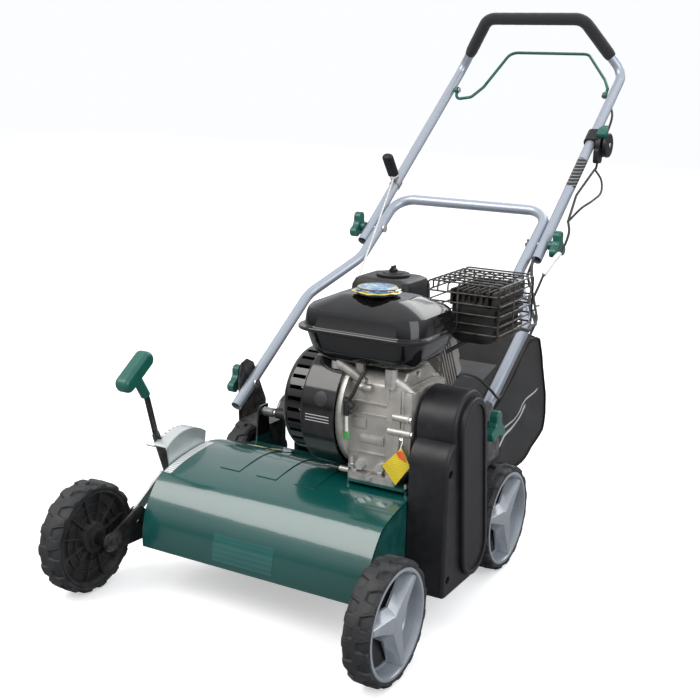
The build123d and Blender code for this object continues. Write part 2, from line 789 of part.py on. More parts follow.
with BuildPart() as fuel_tank:
    # lower half, upper half, and the seam flange between them
    with BuildSketch(plane_z(438, *TANK_XY)):
        RectangleRounded(222, 166, 34)
    extrude(amount=54)
    fillet(end_rim(fuel_tank, Axis.Z, 0), 20)
    with BuildSketch(plane_z(495, *TANK_XY)):
        RectangleRounded(226, 170, 36)
    extrude(amount=54)
    fillet(end_rim(fuel_tank, Axis.Z, -1), 26)
    with BuildSketch(plane_z(490, *TANK_XY)):
        RectangleRounded(238, 182, 42)
    extrude(amount=6)
    level_faces = fuel_tank.faces().filter_by(GeomType.PLANE).filter_by(Axis.Z)
    fillet(level_faces.sort_by(Axis.Z)[1].outer_wire().edges(), 1.5)
    # hollow inside
    with BuildSketch(plane_z(446, *TANK_XY)):
        RectangleRounded(206, 150, 26)
    extrude(amount=92, mode=Mode.SUBTRACT)
    # filler neck
    with BuildSketch(plane_z(545, *CAP_XY)):
        Circle(24)
    extrude(amount=7)
    with BuildSketch(plane_z(530, *CAP_XY)):
        Circle(19)
    extrude(amount=40, mode=Mode.SUBTRACT)
save(fuel_tank, "fuel_tank")

CAP_Z = 552.2

with BuildPart() as fuel_cap:
    with BuildSketch(plane_z(CAP_Z, *CAP_XY)):
        Circle(36)
    extrude(amount=11)
    fillet(end_rim(fuel_cap, Axis.Z, -1), 4)
    # grip flutes
    with BuildSketch(plane_z(CAP_Z, *CAP_XY)):
        with PolarLocations(37.5, 12):
            Circle(3.5)
    extrude(amount=12, mode=Mode.SUBTRACT)
    # plug in the filler neck
    with BuildSketch(plane_z(CAP_Z, *CAP_XY)):
        Circle(18.9)
    extrude(amount=-14)
save(fuel_cap, "fuel_cap")

FILTER_XY = (75, 420)
FILTER_STUD_R = 3.0

with BuildPart() as air_filter:
    with BuildSketch(plane_z(470, *FILTER_XY)):
        RectangleRounded(112, 104, 26)
    extrude(amount=66)
    fillet(end_rim(air_filter, Axis.Z, -1), 12)
    with BuildSketch(plane_z(482, *FILTER_XY)):
        RectangleRounded(118, 110, 28)
    extrude(amount=6)
    with BuildSketch(plane_z(536, *FILTER_XY)):
        Circle(38)
    extrude(amount=8)
    fillet(end_rim(air_filter, Axis.Z, -1), 4)
    # seat and stud of the knob
    for z, radius, height in ((544, 12, 4), (548, FILTER_STUD_R, 14)):
        with BuildSketch(plane_z(z, *FILTER_XY)):
            Circle(radius)
        extrude(amount=height)
save(air_filter, "air_filter")

FILTER_KNOB_Z = 548.3

with BuildPart() as air_filter_knob:
    with BuildSketch(plane_z(FILTER_KNOB_Z, *FILTER_XY)):
        Circle(9)
    extrude(amount=17)
    fillet(end_rim(air_filter_knob, Axis.Z, -1), 3)
    with BuildSketch(plane_z(552, *FILTER_XY)):
        SlotOverall(38, 7)
    extrude(amount=18)
    fillet(end_rim(air_filter_knob, Axis.Z, -1), 2)
    with BuildSketch(plane_z(FILTER_KNOB_Z, *FILTER_XY)):
        Circle(FILTER_STUD_R + RUN_GAP)
    extrude(amount=14.2, mode=Mode.SUBTRACT)
save(air_filter_knob, "air_filter_knob")

CARBURETTOR_XY = (78, 420)

with BuildPart() as carburettor:
    with BuildSketch(plane_z(405, *CARBURETTOR_XY)):
        RectangleRounded(44, 44, 8)
    extrude(amount=64)
    # round bowl below
    with BuildSketch(plane_z(398, *CARBURETTOR_XY)):
        Circle(19)
    extrude(amount=22)
    # stub towards the cylinder
    with BuildSketch(plane_x(96, 420, 436)):
        Circle(16)
    extrude(amount=19.5)
    # flange under the air filter
    with BuildSketch(plane_z(464, 76, 420)):
        RectangleRounded(70, 66, 8)
    extrude(amount=5.8)
save(carburettor, "carburettor")

with BuildPart() as muffler:
    with BuildSketch(plane_z(458, 261, 418)):
        RectangleRounded(88, 138, 30)
    extrude(amount=82)
    fillet(end_rim(muffler, Axis.Z, -1), 22)
    fillet(end_rim(muffler, Axis.Z, 0), 16)
    # stub on the rear face
    with BuildSketch(plane_y(487, 275, 500)):
        Circle(14)
    extrude(amount=-10)
    # stub on the left face, towards the cylinder
    with BuildSketch(plane_x(212.3, 402, 474)):
        Circle(9)
    extrude(amount=12)
save(muffler, "muffler")

# Wire guard over the muffler: a box open at the bottom, all square mesh
GUARD_SIZE = (137.0, 161.0, 107.0)
GUARD_MID = (248.5, 424.5, 502.5)
GUARD_BOTTOM = GUARD_MID[2] - GUARD_SIZE[2] / 2
GUARD_WALL = 2.5
MESH_PITCH, MESH_HOLE = 15.5, 12.5
MESH_X, MESH_Y, MESH_Z = 7, 9, 6          # holes along each axis

with BuildPart() as muffler_guard:
    with BuildSketch(plane_z(GUARD_BOTTOM, *GUARD_MID[:2])):
        RectangleRounded(GUARD_SIZE[0], GUARD_SIZE[1], 14)
    extrude(amount=GUARD_SIZE[2])
    with BuildSketch(plane_z(GUARD_BOTTOM - 1, *GUARD_MID[:2])):
        RectangleRounded(GUARD_SIZE[0] - 2 * GUARD_WALL, GUARD_SIZE[1] - 2 * GUARD_WALL,
                         14 - GUARD_WALL)
    extrude(amount=GUARD_SIZE[2] - 1.5, mode=Mode.SUBTRACT)
    # mesh holes through the sides, the front and rear, and the top
    with BuildSketch(plane_x(GUARD_MID[0] - GUARD_SIZE[0] / 2 - 5, *GUARD_MID[1:])):
        with GridLocations(MESH_PITCH, MESH_PITCH, MESH_Y, MESH_Z):
            Rectangle(MESH_HOLE, MESH_HOLE)
    extrude(amount=GUARD_SIZE[0] + 10, mode=Mode.SUBTRACT)
    with BuildSketch(plane_y(GUARD_MID[1] + GUARD_SIZE[1] / 2 + 5, GUARD_MID[0],
                             GUARD_MID[2])):
        with GridLocations(MESH_PITCH, MESH_PITCH, MESH_X, MESH_Z):
            Rectangle(MESH_HOLE, MESH_HOLE)
    extrude(amount=GUARD_SIZE[1] + 10, mode=Mode.SUBTRACT)
    with BuildSketch(plane_z(GUARD_BOTTOM + GUARD_SIZE[2] - 20, *GUARD_MID[:2])):
        with GridLocations(MESH_PITCH, MESH_PITCH, MESH_X, MESH_Y):
            Rectangle(MESH_HOLE, MESH_HOLE)
    extrude(amount=40, mode=Mode.SUBTRACT)
    # the left side stands over the cylinder head
    with BuildSketch(plane_x(170, 425, 450)):
        Rectangle(200, 44)
    extrude(amount=46, mode=Mode.SUBTRACT)
save(muffler_guard, "muffler_guard")

make_rod("ignition_lead", [point(107, 350, 446), point(107, 372, 456), point(111, 394, 452)],
         [14], radius=3.5)

# Bolts around the crankcase cover, (y, z)
CASE_BOLTS = [
    (206, 258), (338, 258), (340, 330), (318, 404), (250, 420), (206, 396), (200, 320),
]
# Bolts in the mounting foot, (x, y)
FOOT_BOLTS = [(130, 193.4), (180, 193.4), (130, 352), (180, 352)]

with BuildPart() as engine_bolts:
    for centre in CASE_BOLTS:
        with BuildSketch(plane_x(214 + BOLT_GAP, *centre)):
            RegularPolygon(6, 6)
        extrude(amount=5)
    for centre in FOOT_BOLTS:
        with BuildSketch(plane_z(ENGINE_BASE_Z + FOOT_THICKNESS + BOLT_GAP, *centre)):
            RegularPolygon(4.8, 6)
        extrude(amount=6)
    # two larger heads low on the front of the case
    for x in (140, 178):
        with BuildSketch(plane_y(198.4, x, 262)):
            RegularPolygon(9, 6)
        extrude(amount=7)
save(engine_bolts, "engine_bolts")

# ---------------------------------------------------------------------------
# Front axle, depth lever and link
# ---------------------------------------------------------------------------
AXLE_PIN = polar(CROSS_TUBE, 52.0, 135.0)
LEVER_PIN = polar(LEVER_PIVOT, 26.0, 147.5)
SWING_PLATE_X = 247.0        # outer face of the swing plates
SWING_PLATE = 4.0
# Axle stubs, their collars, and the link pin with its head:
# x from, x to, centre, radius
AXLE_STEPS = [
    (-319, -SWING_PLATE_X, FRONT_WHEEL, AXLE_R), (SWING_PLATE_X, 319, FRONT_WHEEL, AXLE_R),
    (-272, -SWING_PLATE_X, FRONT_WHEEL, 11), (SWING_PLATE_X, 272, FRONT_WHEEL, 11),
    (-256.5, -SWING_PLATE_X, AXLE_PIN, LINK_PIN_R), (-258.5, -256, AXLE_PIN, 7.5),
]

with BuildPart() as front_axle:
    with BuildSketch(plane_x(-SWING_PLATE_X, *CROSS_TUBE)):
        Circle(CROSS_TUBE_R)
        Circle(CROSS_TUBE_R - 2, mode=Mode.SUBTRACT)
    extrude(amount=2 * SWING_PLATE_X)
    # three-cornered swing plates
    for x in (-SWING_PLATE_X, SWING_PLATE_X - SWING_PLATE):
        with BuildSketch(plane_x(x)):
            with Locations(FRONT_WHEEL):
                Circle(17)
            with Locations(CROSS_TUBE):
                Circle(18)
            with BuildLine():
                Polyline(*tangents(FRONT_WHEEL, 17, CROSS_TUBE, 18), close=True)
            make_face()
            with BuildLine():
                Polyline(*tangents(AXLE_PIN, 11, CROSS_TUBE, 14), close=True)
            make_face()
            with BuildLine():
                Polyline(*tangents(AXLE_PIN, 11, FRONT_WHEEL, 14), close=True)
            make_face()
            with Locations(AXLE_PIN):
                Circle(11)
        extrude(amount=SWING_PLATE)
    for x_from, x_to, centre, radius in AXLE_STEPS:
        with BuildSketch(plane_x(x_from, *centre)):
            Circle(radius)
        extrude(amount=x_to - x_from)
save(front_axle, "front_axle")

LEVER_TOP = (127.5, 263)             # where the flat lever turns into a rod
LEVER_ROD = [point(-245, *LEVER_TOP), point(-245, 105, 337), point(-245, 83.4, 370.6)]

with BuildPart() as depth_lever:
    with BuildSketch(plane_x(-247)):
        with Locations(LEVER_PIVOT):
            Circle(14)
        with Locations(LEVER_PIN):
            Circle(9)
        with Locations(LEVER_TOP):
            Circle(8)
        with BuildLine():
            Polyline(*tangents(LEVER_PIVOT, 12, LEVER_TOP, 8), close=True)
        make_face()
        with BuildLine():
            Polyline(*tangents(LEVER_PIVOT, 12, LEVER_PIN, 9), close=True)
        make_face()
        with Locations(LEVER_PIVOT):
            Circle(LEVER_BOLT_R + RUN_GAP, mode=Mode.SUBTRACT)
    extrude(amount=4)
    with BuildSketch(plane_x(-256, *LEVER_PIN)):
        Circle(LINK_PIN_R)
    extrude(amount=10)
    with BuildLine():
        bent_run(LEVER_ROD, [40])
    with BuildSketch(run_start(LEVER_ROD)):
        Circle(5.5)
    sweep()
save(depth_lever, "depth_lever")

GRIP_PLANE = Plane(origin=point(-245, 73, 393), x_dir=(0, 71, 49), z_dir=(1, 0, 0))
SLEEVE_PLANE = Plane(origin=point(-245, 100.5, 344), z_dir=(0, -18, 28))

# Cross grip with a sleeve over the lever rod
with BuildPart() as depth_grip:
    with BuildSketch(GRIP_PLANE.offset(-15)):
        RectangleRounded(88, 30, 14)
    extrude(amount=30)
    fillet(depth_grip.edges().filter_by(GeomType.CIRCLE), 9)
    with BuildSketch(SLEEVE_PLANE):
        Circle(9)
    extrude(amount=44)
    with BuildSketch(SLEEVE_PLANE.offset(-2)):
        Circle(5.6)
    extrude(amount=42, mode=Mode.SUBTRACT)
save(depth_grip, "depth_grip")

with BuildPart() as depth_link:
    with BuildSketch(plane_x(-253.5)):
        with Locations(LEVER_PIN, AXLE_PIN):
            Circle(9)
        with BuildLine():
            Polyline(*tangents(LEVER_PIN, 9, AXLE_PIN, 9), close=True)
        make_face()
        with Locations(LEVER_PIN):
            Circle(LINK_PIN_R + RUN_GAP, mode=Mode.SUBTRACT)
        with Locations(AXLE_PIN):
            Circle(5.5, mode=Mode.SUBTRACT)
    extrude(amount=5)
save(depth_link, "depth_link")


# ---------------------------------------------------------------------------
# Wheels
# ---------------------------------------------------------------------------
def make_wheel(place, side, centre, faces_x, hub_overhang):
    """Tyre and rim; the hub stands out of the inner face by hub_overhang."""
    width = faces_x[1] - faces_x[0]
    left = start_x(side, *faces_x)
    right = left + width
    middle = (left + right) / 2

    with BuildPart() as tyre:
        with BuildSketch(plane_x(left, *centre)):
            RegularPolygon(WHEEL_R, 24, major_radius=False, rotation=7.5)
        extrude(amount=width)
        chamfer(end_rim(tyre, Axis.X, 0), 4)
        chamfer(end_rim(tyre, Axis.X, -1), 4)
        with BuildSketch(plane_x(left, *centre)):
            Circle(RIM_R)
        extrude(amount=width, mode=Mode.SUBTRACT)
    save(tyre, f"tyre_{place}")

    if side < 0:
        hub_from, hub_to, spokes_from = left + 4, right + hub_overhang, left + 6
    else:
        hub_from, hub_to, spokes_from = left - hub_overhang, right - 4, middle
    with BuildPart() as rim:
        with BuildSketch(plane_x(left + 2, *centre)):
            Circle(RIM_R)
            Circle(RIM_R - 3, mode=Mode.SUBTRACT)
        extrude(amount=width - 4)
        with BuildSketch(plane_x(middle - 2, *centre)):
            Circle(RIM_R - 2)
        extrude(amount=4)
        with BuildSketch(plane_x(hub_from, *centre)):
            Circle(18)
        extrude(amount=hub_to - hub_from)
        # three spokes in the outer half
        with BuildSketch(plane_x(spokes_from, *centre)):
            with PolarLocations(0, 3, start_angle=90):
                Polygon((0, -16), (84, -10), (84, 10), (0, 16), align=None)
        extrude(amount=width / 2 - 6)
        with BuildSketch(plane_x(left - 10, *centre)):
            Circle(AXLE_R + RUN_GAP)
        extrude(amount=width + 20, mode=Mode.SUBTRACT)
    save(rim, f"rim_{place}")


for side, side_name in ((-1, "left"), (1, "right")):
    make_wheel(f"front_{side_name}", side, FRONT_WHEEL, FRONT_WHEEL_X, hub_overhang=4.5)
    make_wheel(f"rear_{side_name}", side, REAR_WHEEL, REAR_WHEEL_X, hub_overhang=0.0)

# ---------------------------------------------------------------------------
# Handle
# ---------------------------------------------------------------------------
LOWER_RUN = [
    on_lower(-66, LOWER_X), on_lower(261, LOWER_X),
    on_lower(390, LOWER_TOP_X), on_lower(590, LOWER_TOP_X),
    on_lower(590, -LOWER_TOP_X), on_lower(390, -LOWER_TOP_X),
    on_lower(261, -LOWER_X), on_lower(-66, -LOWER_X),
]

with BuildPart() as lower_handle:
    with BuildLine():
        bent_run(LOWER_RUN, [70, 70, 46, 46, 70, 70])
    with BuildSketch(run_start(LOWER_RUN)):
        Circle(TUBE_R)
        Circle(TUBE_BORE_R, mode=Mode.SUBTRACT)
    sweep()
    with BuildSketch(plane_x(-270)):
        with Locations(LOWER_PIVOT, FOLD):
            Circle(HANDLE_BOLT_R)
    extrude(amount=540, mode=Mode.SUBTRACT)
save(lower_handle, "lower_handle")

# Shanks with round heads on their inner ends
with BuildPart() as handle_bolts:
    for centre, near, far in ((LOWER_PIVOT, 238.5, 286), (FOLD, 170.5, 240)):
        for side in (-1, 1):
            with BuildSketch(plane_x(start_x(side, near, far), *centre)):
                Circle(HANDLE_BOLT_R)
            extrude(amount=far - near)
            with BuildSketch(plane_x(start_x(side, near, near - 3), *centre)):
                Circle(9)
            extrude(amount=3)
save(handle_bolts, "handle_bolts")

BAIL_PIVOT = polar(FOLD, 490.0, UPPER_ANGLE)
BAIL_PIN_R = 3.0
SHOULDER_RIGHT, SHOULDER_LEFT = on_upper(572.5, UPPER_X), on_upper(572.5, -UPPER_X)
TOP_RIGHT, TOP_LEFT = point(119, 1239, 1031), point(-119, 1239, 1031)
UPPER_RUN = [on_upper(-45, UPPER_X), SHOULDER_RIGHT, TOP_RIGHT, TOP_LEFT, SHOULDER_LEFT,
             on_upper(-45, -UPPER_X)]

with BuildPart() as upper_handle:
    with BuildLine():
        bent_run(UPPER_RUN, [34, 38, 38, 34])
    with BuildSketch(run_start(UPPER_RUN)):
        Circle(TUBE_R)
        Circle(TUBE_BORE_R, mode=Mode.SUBTRACT)
    sweep()
    with BuildSketch(plane_x(-270, *FOLD)):
        Circle(HANDLE_BOLT_R + 0.3)
    extrude(amount=540, mode=Mode.SUBTRACT)
    # pins for the bail, with a head on the inner end
    for side in (-1, 1):
        with BuildSketch(plane_x(start_x(side, 181, 194.2), *BAIL_PIVOT)):
            Circle(BAIL_PIN_R)
        extrude(amount=13.2)
        with BuildSketch(plane_x(start_x(side, 180, 182), *BAIL_PIVOT)):
            Circle(6.0)
        extrude(amount=2)
save(upper_handle, "upper_handle")

# Sleeve over the top of the handle
make_rod("foam_grip",
         [SHOULDER_RIGHT + (TOP_RIGHT - SHOULDER_RIGHT) * 0.3, TOP_RIGHT, TOP_LEFT,
          SHOULDER_LEFT + (TOP_LEFT - SHOULDER_LEFT) * 0.3],
         [38, 38], radius=14.5, bore=TUBE_R + 0.3)


def by_bail(x, rearward, upward):
    return point(x, BAIL_PIVOT[0] + rearward, BAIL_PIVOT[1] + upward)


BAIL_EYE_X = 187.5
BAIL_RUN = [
    by_bail(-BAIL_EYE_X, -1, -7), by_bail(-BAIL_EYE_X, -3, -22), by_bail(-150, 2, -16),
    by_bail(-128, 24, 8), point(-100, 1350, 954), point(100, 1350, 954),
    by_bail(170, 44, 34), by_bail(BAIL_EYE_X, 14, 15), by_bail(BAIL_EYE_X, 5, 5),
]

with BuildPart() as bail:
    for side in (-1, 1):
        with BuildSketch(plane_x(side * BAIL_EYE_X - 3.5, *BAIL_PIVOT)):
            Circle(8)
            Circle(BAIL_PIN_R + RUN_GAP, mode=Mode.SUBTRACT)
        extrude(amount=7)
    with BuildLine():
        bent_run(BAIL_RUN, [9, 12, 20, 24, 24, 16, 8])
    with BuildSketch(run_start(BAIL_RUN)):
        Circle(3.6)
    sweep()
save(bail, "bail")

# Throttle on the right-hand tube: clamp and round housing outboard of it
UPPER_DIR = tilted(UPPER_ANGLE)
UPPER_NORMAL = tilted(UPPER_ANGLE + 90)
THROTTLE_ALONG, THROTTLE_CLAMP = 337.0, 34.0
THROTTLE_FOOT = polar(FOLD, THROTTLE_ALONG, UPPER_ANGLE)
THROTTLE = (THROTTLE_FOOT[0] + 4, THROTTLE_FOOT[1] - 12)
THROTTLE_R = 27.0
THROTTLE_PIN_R = 5.0

with BuildPart() as throttle_housing:
    with BuildSketch(Plane(origin=on_upper(THROTTLE_ALONG - THROTTLE_CLAMP / 2, UPPER_X),
                           x_dir=(1, 0, 0), z_dir=UPPER_DIR)):
        with Locations((4, 0)):
            RectangleRounded(38, 30, 12)
        Circle(TUBE_R + 0.1, mode=Mode.SUBTRACT)
    extrude(amount=THROTTLE_CLAMP)
    with BuildSketch(plane_x(219, *THROTTLE)):
        Circle(THROTTLE_R)
        with Locations((-20, -22)):
            RectangleRounded(30, 34, 8)
    extrude(amount=11)
    with BuildSketch(plane_x(236, *THROTTLE)):
        Circle(THROTTLE_R)
    extrude(amount=8)
    fillet(end_rim(throttle_housing, Axis.X, -1), 3)
    with BuildSketch(plane_x(229, *THROTTLE)):
        Circle(THROTTLE_PIN_R)
    extrude(amount=8)
save(throttle_housing, "throttle_housing")

with BuildPart() as throttle_lever:
    with BuildSketch(plane_x(230.5, *THROTTLE)):
        Circle(20)
        Polygon((-16, 10), (14, 12), (12, 40), (6, 48), (-6, 48), (-12, 40), align=None)
        Circle(THROTTLE_PIN_R + RUN_GAP, mode=Mode.SUBTRACT)
    extrude(amount=5)
    # thumb pad
    with BuildSketch(plane_x(225, *THROTTLE)):
        with Locations((0, 45)):
            RectangleRounded(22, 15, 5)
    extrude(amount=17)
save(throttle_lever, "throttle_lever")

STARTER_ALONG, STARTER_CLAMP = 145.0, 16.0


def starter_plane(above):
    """Plane parallel to the left-hand tube, above its axis, at the starter grip."""
    return Plane(origin=on_upper(STARTER_ALONG, -UPPER_X + 2, above), x_dir=(1, 0, 0),
                 z_dir=UPPER_NORMAL)


# Starter rope guide on the left-hand tube: clamp, post and rope eye
with BuildPart() as starter_guide:
    with BuildSketch(Plane(origin=on_upper(STARTER_ALONG - STARTER_CLAMP / 2, -UPPER_X),
                           x_dir=(1, 0, 0), z_dir=UPPER_DIR)):
        Circle(TUBE_R + 2.2)
        Circle(TUBE_R + 0.1, mode=Mode.SUBTRACT)
    extrude(amount=STARTER_CLAMP)
    for above, radius, height in ((12.2, 5, 6), (18, 10, 4)):
        with BuildSketch(starter_plane(above)):
            Circle(radius)
        extrude(amount=height)
save(starter_guide, "starter_guide")

with BuildPart() as starter_grip:
    with BuildSketch(starter_plane(22.4)):
        Circle(9.5)
    extrude(amount=9)
    with BuildSketch(starter_plane(30)):
        SlotOverall(26, 20)
    extrude(amount=56)
    fillet(end_rim(starter_grip, Axis((0, 0, 0), UPPER_NORMAL), -1), 7)
save(starter_grip, "starter_grip")


def make_knob(place, side, centre, near):
    """Three-lobed clamp knob whose inner end is at distance near from the middle."""
    with BuildPart() as knob:
        with BuildSketch(plane_x(start_x(side, near, near + 12), *centre)):
            Circle(10)
        extrude(amount=12)
        with BuildSketch(plane_x(start_x(side, near + 11, near + 27), *centre)):
            Circle(16)
            with PolarLocations(21, 3, start_angle=90):
                Circle(11)
            with PolarLocations(0, 3, start_angle=90):
                Polygon((0, -11), (21, -11), (21, 11), (0, 11), align=None)
        extrude(amount=16)
        fillet(end_rim(knob, Axis.X, -1 if side > 0 else 0), 4)
        with BuildSketch(plane_x(start_x(side, near - 1, near + 24), *centre)):
            Circle(HANDLE_BOLT_R + RUN_GAP)
        extrude(amount=25, mode=Mode.SUBTRACT)
    save(knob, f"knob_{place}")


for side, side_name in ((-1, "left"), (1, "right")):
    make_knob(f"lower_{side_name}", side, LOWER_PIVOT, 265.5)
    make_knob(f"upper_{side_name}", side, FOLD, 217.0)

# Cable in two runs, each beside one half of the handle
CABLE_R = 2.6
make_rod("cables_upper",
         [on_upper(272, 226, -30), on_upper(240, 230, -16), on_upper(150, 228, 4),
          on_upper(60, 240, 12)],
         [40, 60], CABLE_R)
make_rod("cables_lower",
         [on_lower(440, 202, 6), on_lower(384, 207, 8), on_lower(330, 240, 10),
          on_lower(270, 269, 6), on_lower(90, 269, 4)],
         [50, 50, 50], CABLE_R)

# ---------------------------------------------------------------------------
# Rear flap and collection bag
# ---------------------------------------------------------------------------
FLAP_LEFT, FLAP_WIDTH, FLAP_SHEET = -176, 380, 3
# Centre run of the flap sheet and outline of its cheeks, (y, z)
FLAP_RUN = [(424, 249), (433, 262), (500, 306), (560, 337), (625, 352)]
FLAP_CHEEK = [
    (424, 250), (433, 262.5), (500, 306.5), (560, 337.5), (625, 353), (621, 338),
    (562, 306), (531, 268), (524, 266), (440, 250),
]
KNUCKLES_X = (-176, -20, 164)
KNUCKLE_WIDTH = 40

with BuildPart() as rear_flap:
    with BuildSketch(plane_x(FLAP_LEFT)):
        with BuildLine():
            Polyline(*ribbon(FLAP_RUN, FLAP_SHEET), close=True)
        make_face()
    extrude(amount=FLAP_WIDTH)
    for x in (FLAP_LEFT, FLAP_LEFT + FLAP_WIDTH - FLAP_SHEET):
        with BuildSketch(plane_x(x)):
            with BuildLine():
                Polyline(*FLAP_CHEEK, close=True)
            make_face()
        extrude(amount=FLAP_SHEET)
    # knuckles around the rod
    for x in KNUCKLES_X:
        with BuildSketch(plane_x(x)):
            with Locations(FLAP_PIVOT):
                Circle(10)
            with BuildLine():
                Polyline((418, 243), (418, 250.5), (430, 252), (430, 243), close=True)
            make_face()
            with Locations(FLAP_PIVOT):
                Circle(AXLE_R + RUN_GAP, mode=Mode.SUBTRACT)
        extrude(amount=KNUCKLE_WIDTH)
save(rear_flap, "rear_flap")

# Bag in side view, (y, z); the inner outline passes the front face and so opens it
BAG_OUTER = [
    (528, 108), (528, 262), (632, 300), (702, 352), (770, 398), (826, 388), (870, 300),
    (905, 195), (898, 158), (750, 112), (640, 98),
]
BAG_INNER = [
    (520, 114), (520, 256), (630, 292), (700, 343), (771, 389), (819, 382), (862, 297),
    (896, 195), (890, 165), (748, 120), (640, 106),
]
BAG_LEFT, BAG_WIDTH, BAG_WALL = -196, 416, 8

with BuildPart() as collection_bag:
    with BuildSketch(plane_x(BAG_LEFT)):
        with BuildLine():
            Polyline(*BAG_OUTER, close=True)
        make_face()
    extrude(amount=BAG_WIDTH)
    # rounds the side edges of the rear part
    fillet(collection_bag.edges().filter_by(
        lambda e: e.center().Y > 640 - ORIGIN_Y and abs(e.center().X) > 150), 12)
    with BuildSketch(plane_x(BAG_LEFT + BAG_WALL)):
        with BuildLine():
            Polyline(*BAG_INNER, close=True)
        make_face()
    extrude(amount=BAG_WIDTH - 2 * BAG_WALL, mode=Mode.SUBTRACT)
save(collection_bag, "collection_bag")

# Rectangular frame around the mouth of the bag
with BuildPart() as bag_frame:
    with BuildSketch(plane_y(527.5, 12, 185)):
        RectangleRounded(420, 158, 14)
        RectangleRounded(404, 142, 8, mode=Mode.SUBTRACT)
    extrude(amount=8)
save(bag_frame, "bag_frame")
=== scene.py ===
"""A petrol lawn mower with a folding handle and a rear collection bag.

Design sizes are millimetres. x runs across (the parts named left are at -x), y runs from the
front axle at y = 0 back to the handle grip, z is up from the floor. The scene is in metres
and its origin lies at y = CENTRE_Y. Radii of wires and cables are metres.
"""

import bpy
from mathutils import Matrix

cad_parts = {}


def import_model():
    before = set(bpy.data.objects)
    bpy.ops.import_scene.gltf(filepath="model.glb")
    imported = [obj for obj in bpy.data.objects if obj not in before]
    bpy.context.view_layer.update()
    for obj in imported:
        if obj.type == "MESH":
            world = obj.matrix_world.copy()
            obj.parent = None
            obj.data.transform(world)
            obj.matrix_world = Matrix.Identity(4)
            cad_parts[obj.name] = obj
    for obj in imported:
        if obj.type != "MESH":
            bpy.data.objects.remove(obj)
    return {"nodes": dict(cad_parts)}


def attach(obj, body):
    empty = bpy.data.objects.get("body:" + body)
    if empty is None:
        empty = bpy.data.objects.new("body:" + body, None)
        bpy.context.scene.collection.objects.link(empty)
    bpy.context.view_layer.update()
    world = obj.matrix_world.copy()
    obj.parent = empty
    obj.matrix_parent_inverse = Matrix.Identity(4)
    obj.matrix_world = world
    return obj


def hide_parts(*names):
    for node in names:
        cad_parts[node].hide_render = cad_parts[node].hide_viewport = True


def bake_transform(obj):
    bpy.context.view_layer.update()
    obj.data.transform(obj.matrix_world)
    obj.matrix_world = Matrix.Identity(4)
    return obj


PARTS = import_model()["nodes"]
import bpy
import bmesh
import math
import numpy as np
from mathutils import Matrix, Vector
from mathutils.bvhtree import BVHTree

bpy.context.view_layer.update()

CENTRE_Y = 626.8
AXLE_Z = 100
LOWER_Y, LOWER_Z = 438, 289             # foot of the lower handle tubes
LOWER_LENGTH = 487
LOWER_SLOPE, UPPER_SLOPE = 34.5, 37.3   # degrees
CAP_X, CAP_Y = 141, 238                 # fuel cap axis


def pos(x, y, z):
    """Design millimetres to scene metres."""
    return Vector((x / 1000.0, (y - CENTRE_Y) / 1000.0, z / 1000.0))


def tube_frame(foot_y, foot_z, slope):
    """Function placing points by length along a handle tube, x, and offset square to it."""
    cos, sin = math.cos(math.radians(slope)), math.sin(math.radians(slope))

    def place(along, x=0.0, off=0.0):
        return pos(x, foot_y + along * cos - off * sin, foot_z + along * sin + off * cos)
    return place


lower = tube_frame(LOWER_Y, LOWER_Z, LOWER_SLOPE)
upper = tube_frame(LOWER_Y + LOWER_LENGTH * math.cos(math.radians(LOWER_SLOPE)),
                   LOWER_Z + LOWER_LENGTH * math.sin(math.radians(LOWER_SLOPE)), UPPER_SLOPE)


# ---------------------------------------------------------------- shader helpers
class Shader:
    """Shorthand for building one node tree."""

    def __init__(self, tree):
        self.tree = tree

    def put(self, value, socket):
        """Links a socket, or sets a number, vector or colour."""
        if isinstance(value, bpy.types.NodeSocket):
            self.tree.links.new(value, socket)
        else:
            socket.default_value = (*value, 1.0) if socket.type == "RGBA" else value

    def node(self, kind, inputs=None, **settings):
        """Adds a node and returns its outputs."""
        node = self.tree.nodes.new("ShaderNode" + kind)
        for key, value in settings.items():
            setattr(node, key, value)
        for key, value in (inputs or {}).items():
            self.put(value, node.inputs[key])
        return node.outputs

    def noise(self, scale, detail=5, vector=None):
        return self.node("TexNoise", {"Scale": scale, "Detail": detail, "Roughness": .55,
                                      "Vector": vector or self.place})["Fac"]

    def wave(self, axis, scale, distortion=0.):
        return self.node("TexWave", {"Scale": scale, "Distortion": distortion,
                                     "Vector": self.place}, bands_direction=axis)["Fac"]

    def remap(self, value, low, high, to_low=0., to_high=1.):
        return self.node("MapRange", {"From Min": low, "From Max": high, "To Min": to_low,
                                      "To Max": to_high, "Value": value})["Result"]

    def maths(self, operation, first, second=.5):
        return self.node("Math", {0: first, 1: second}, operation=operation)[0]

    def times(self, first, second):
        return self.maths("MULTIPLY", first, second)

    def plus(self, first, second):
        return self.maths("ADD", first, second)

    def mix(self, factor, first, second):
        return self.node("Mix", {0: factor, 6: first, 7: second}, data_type="RGBA")[2]

    def xyz(self, vector):
        return self.node("SeparateXYZ", {0: vector})


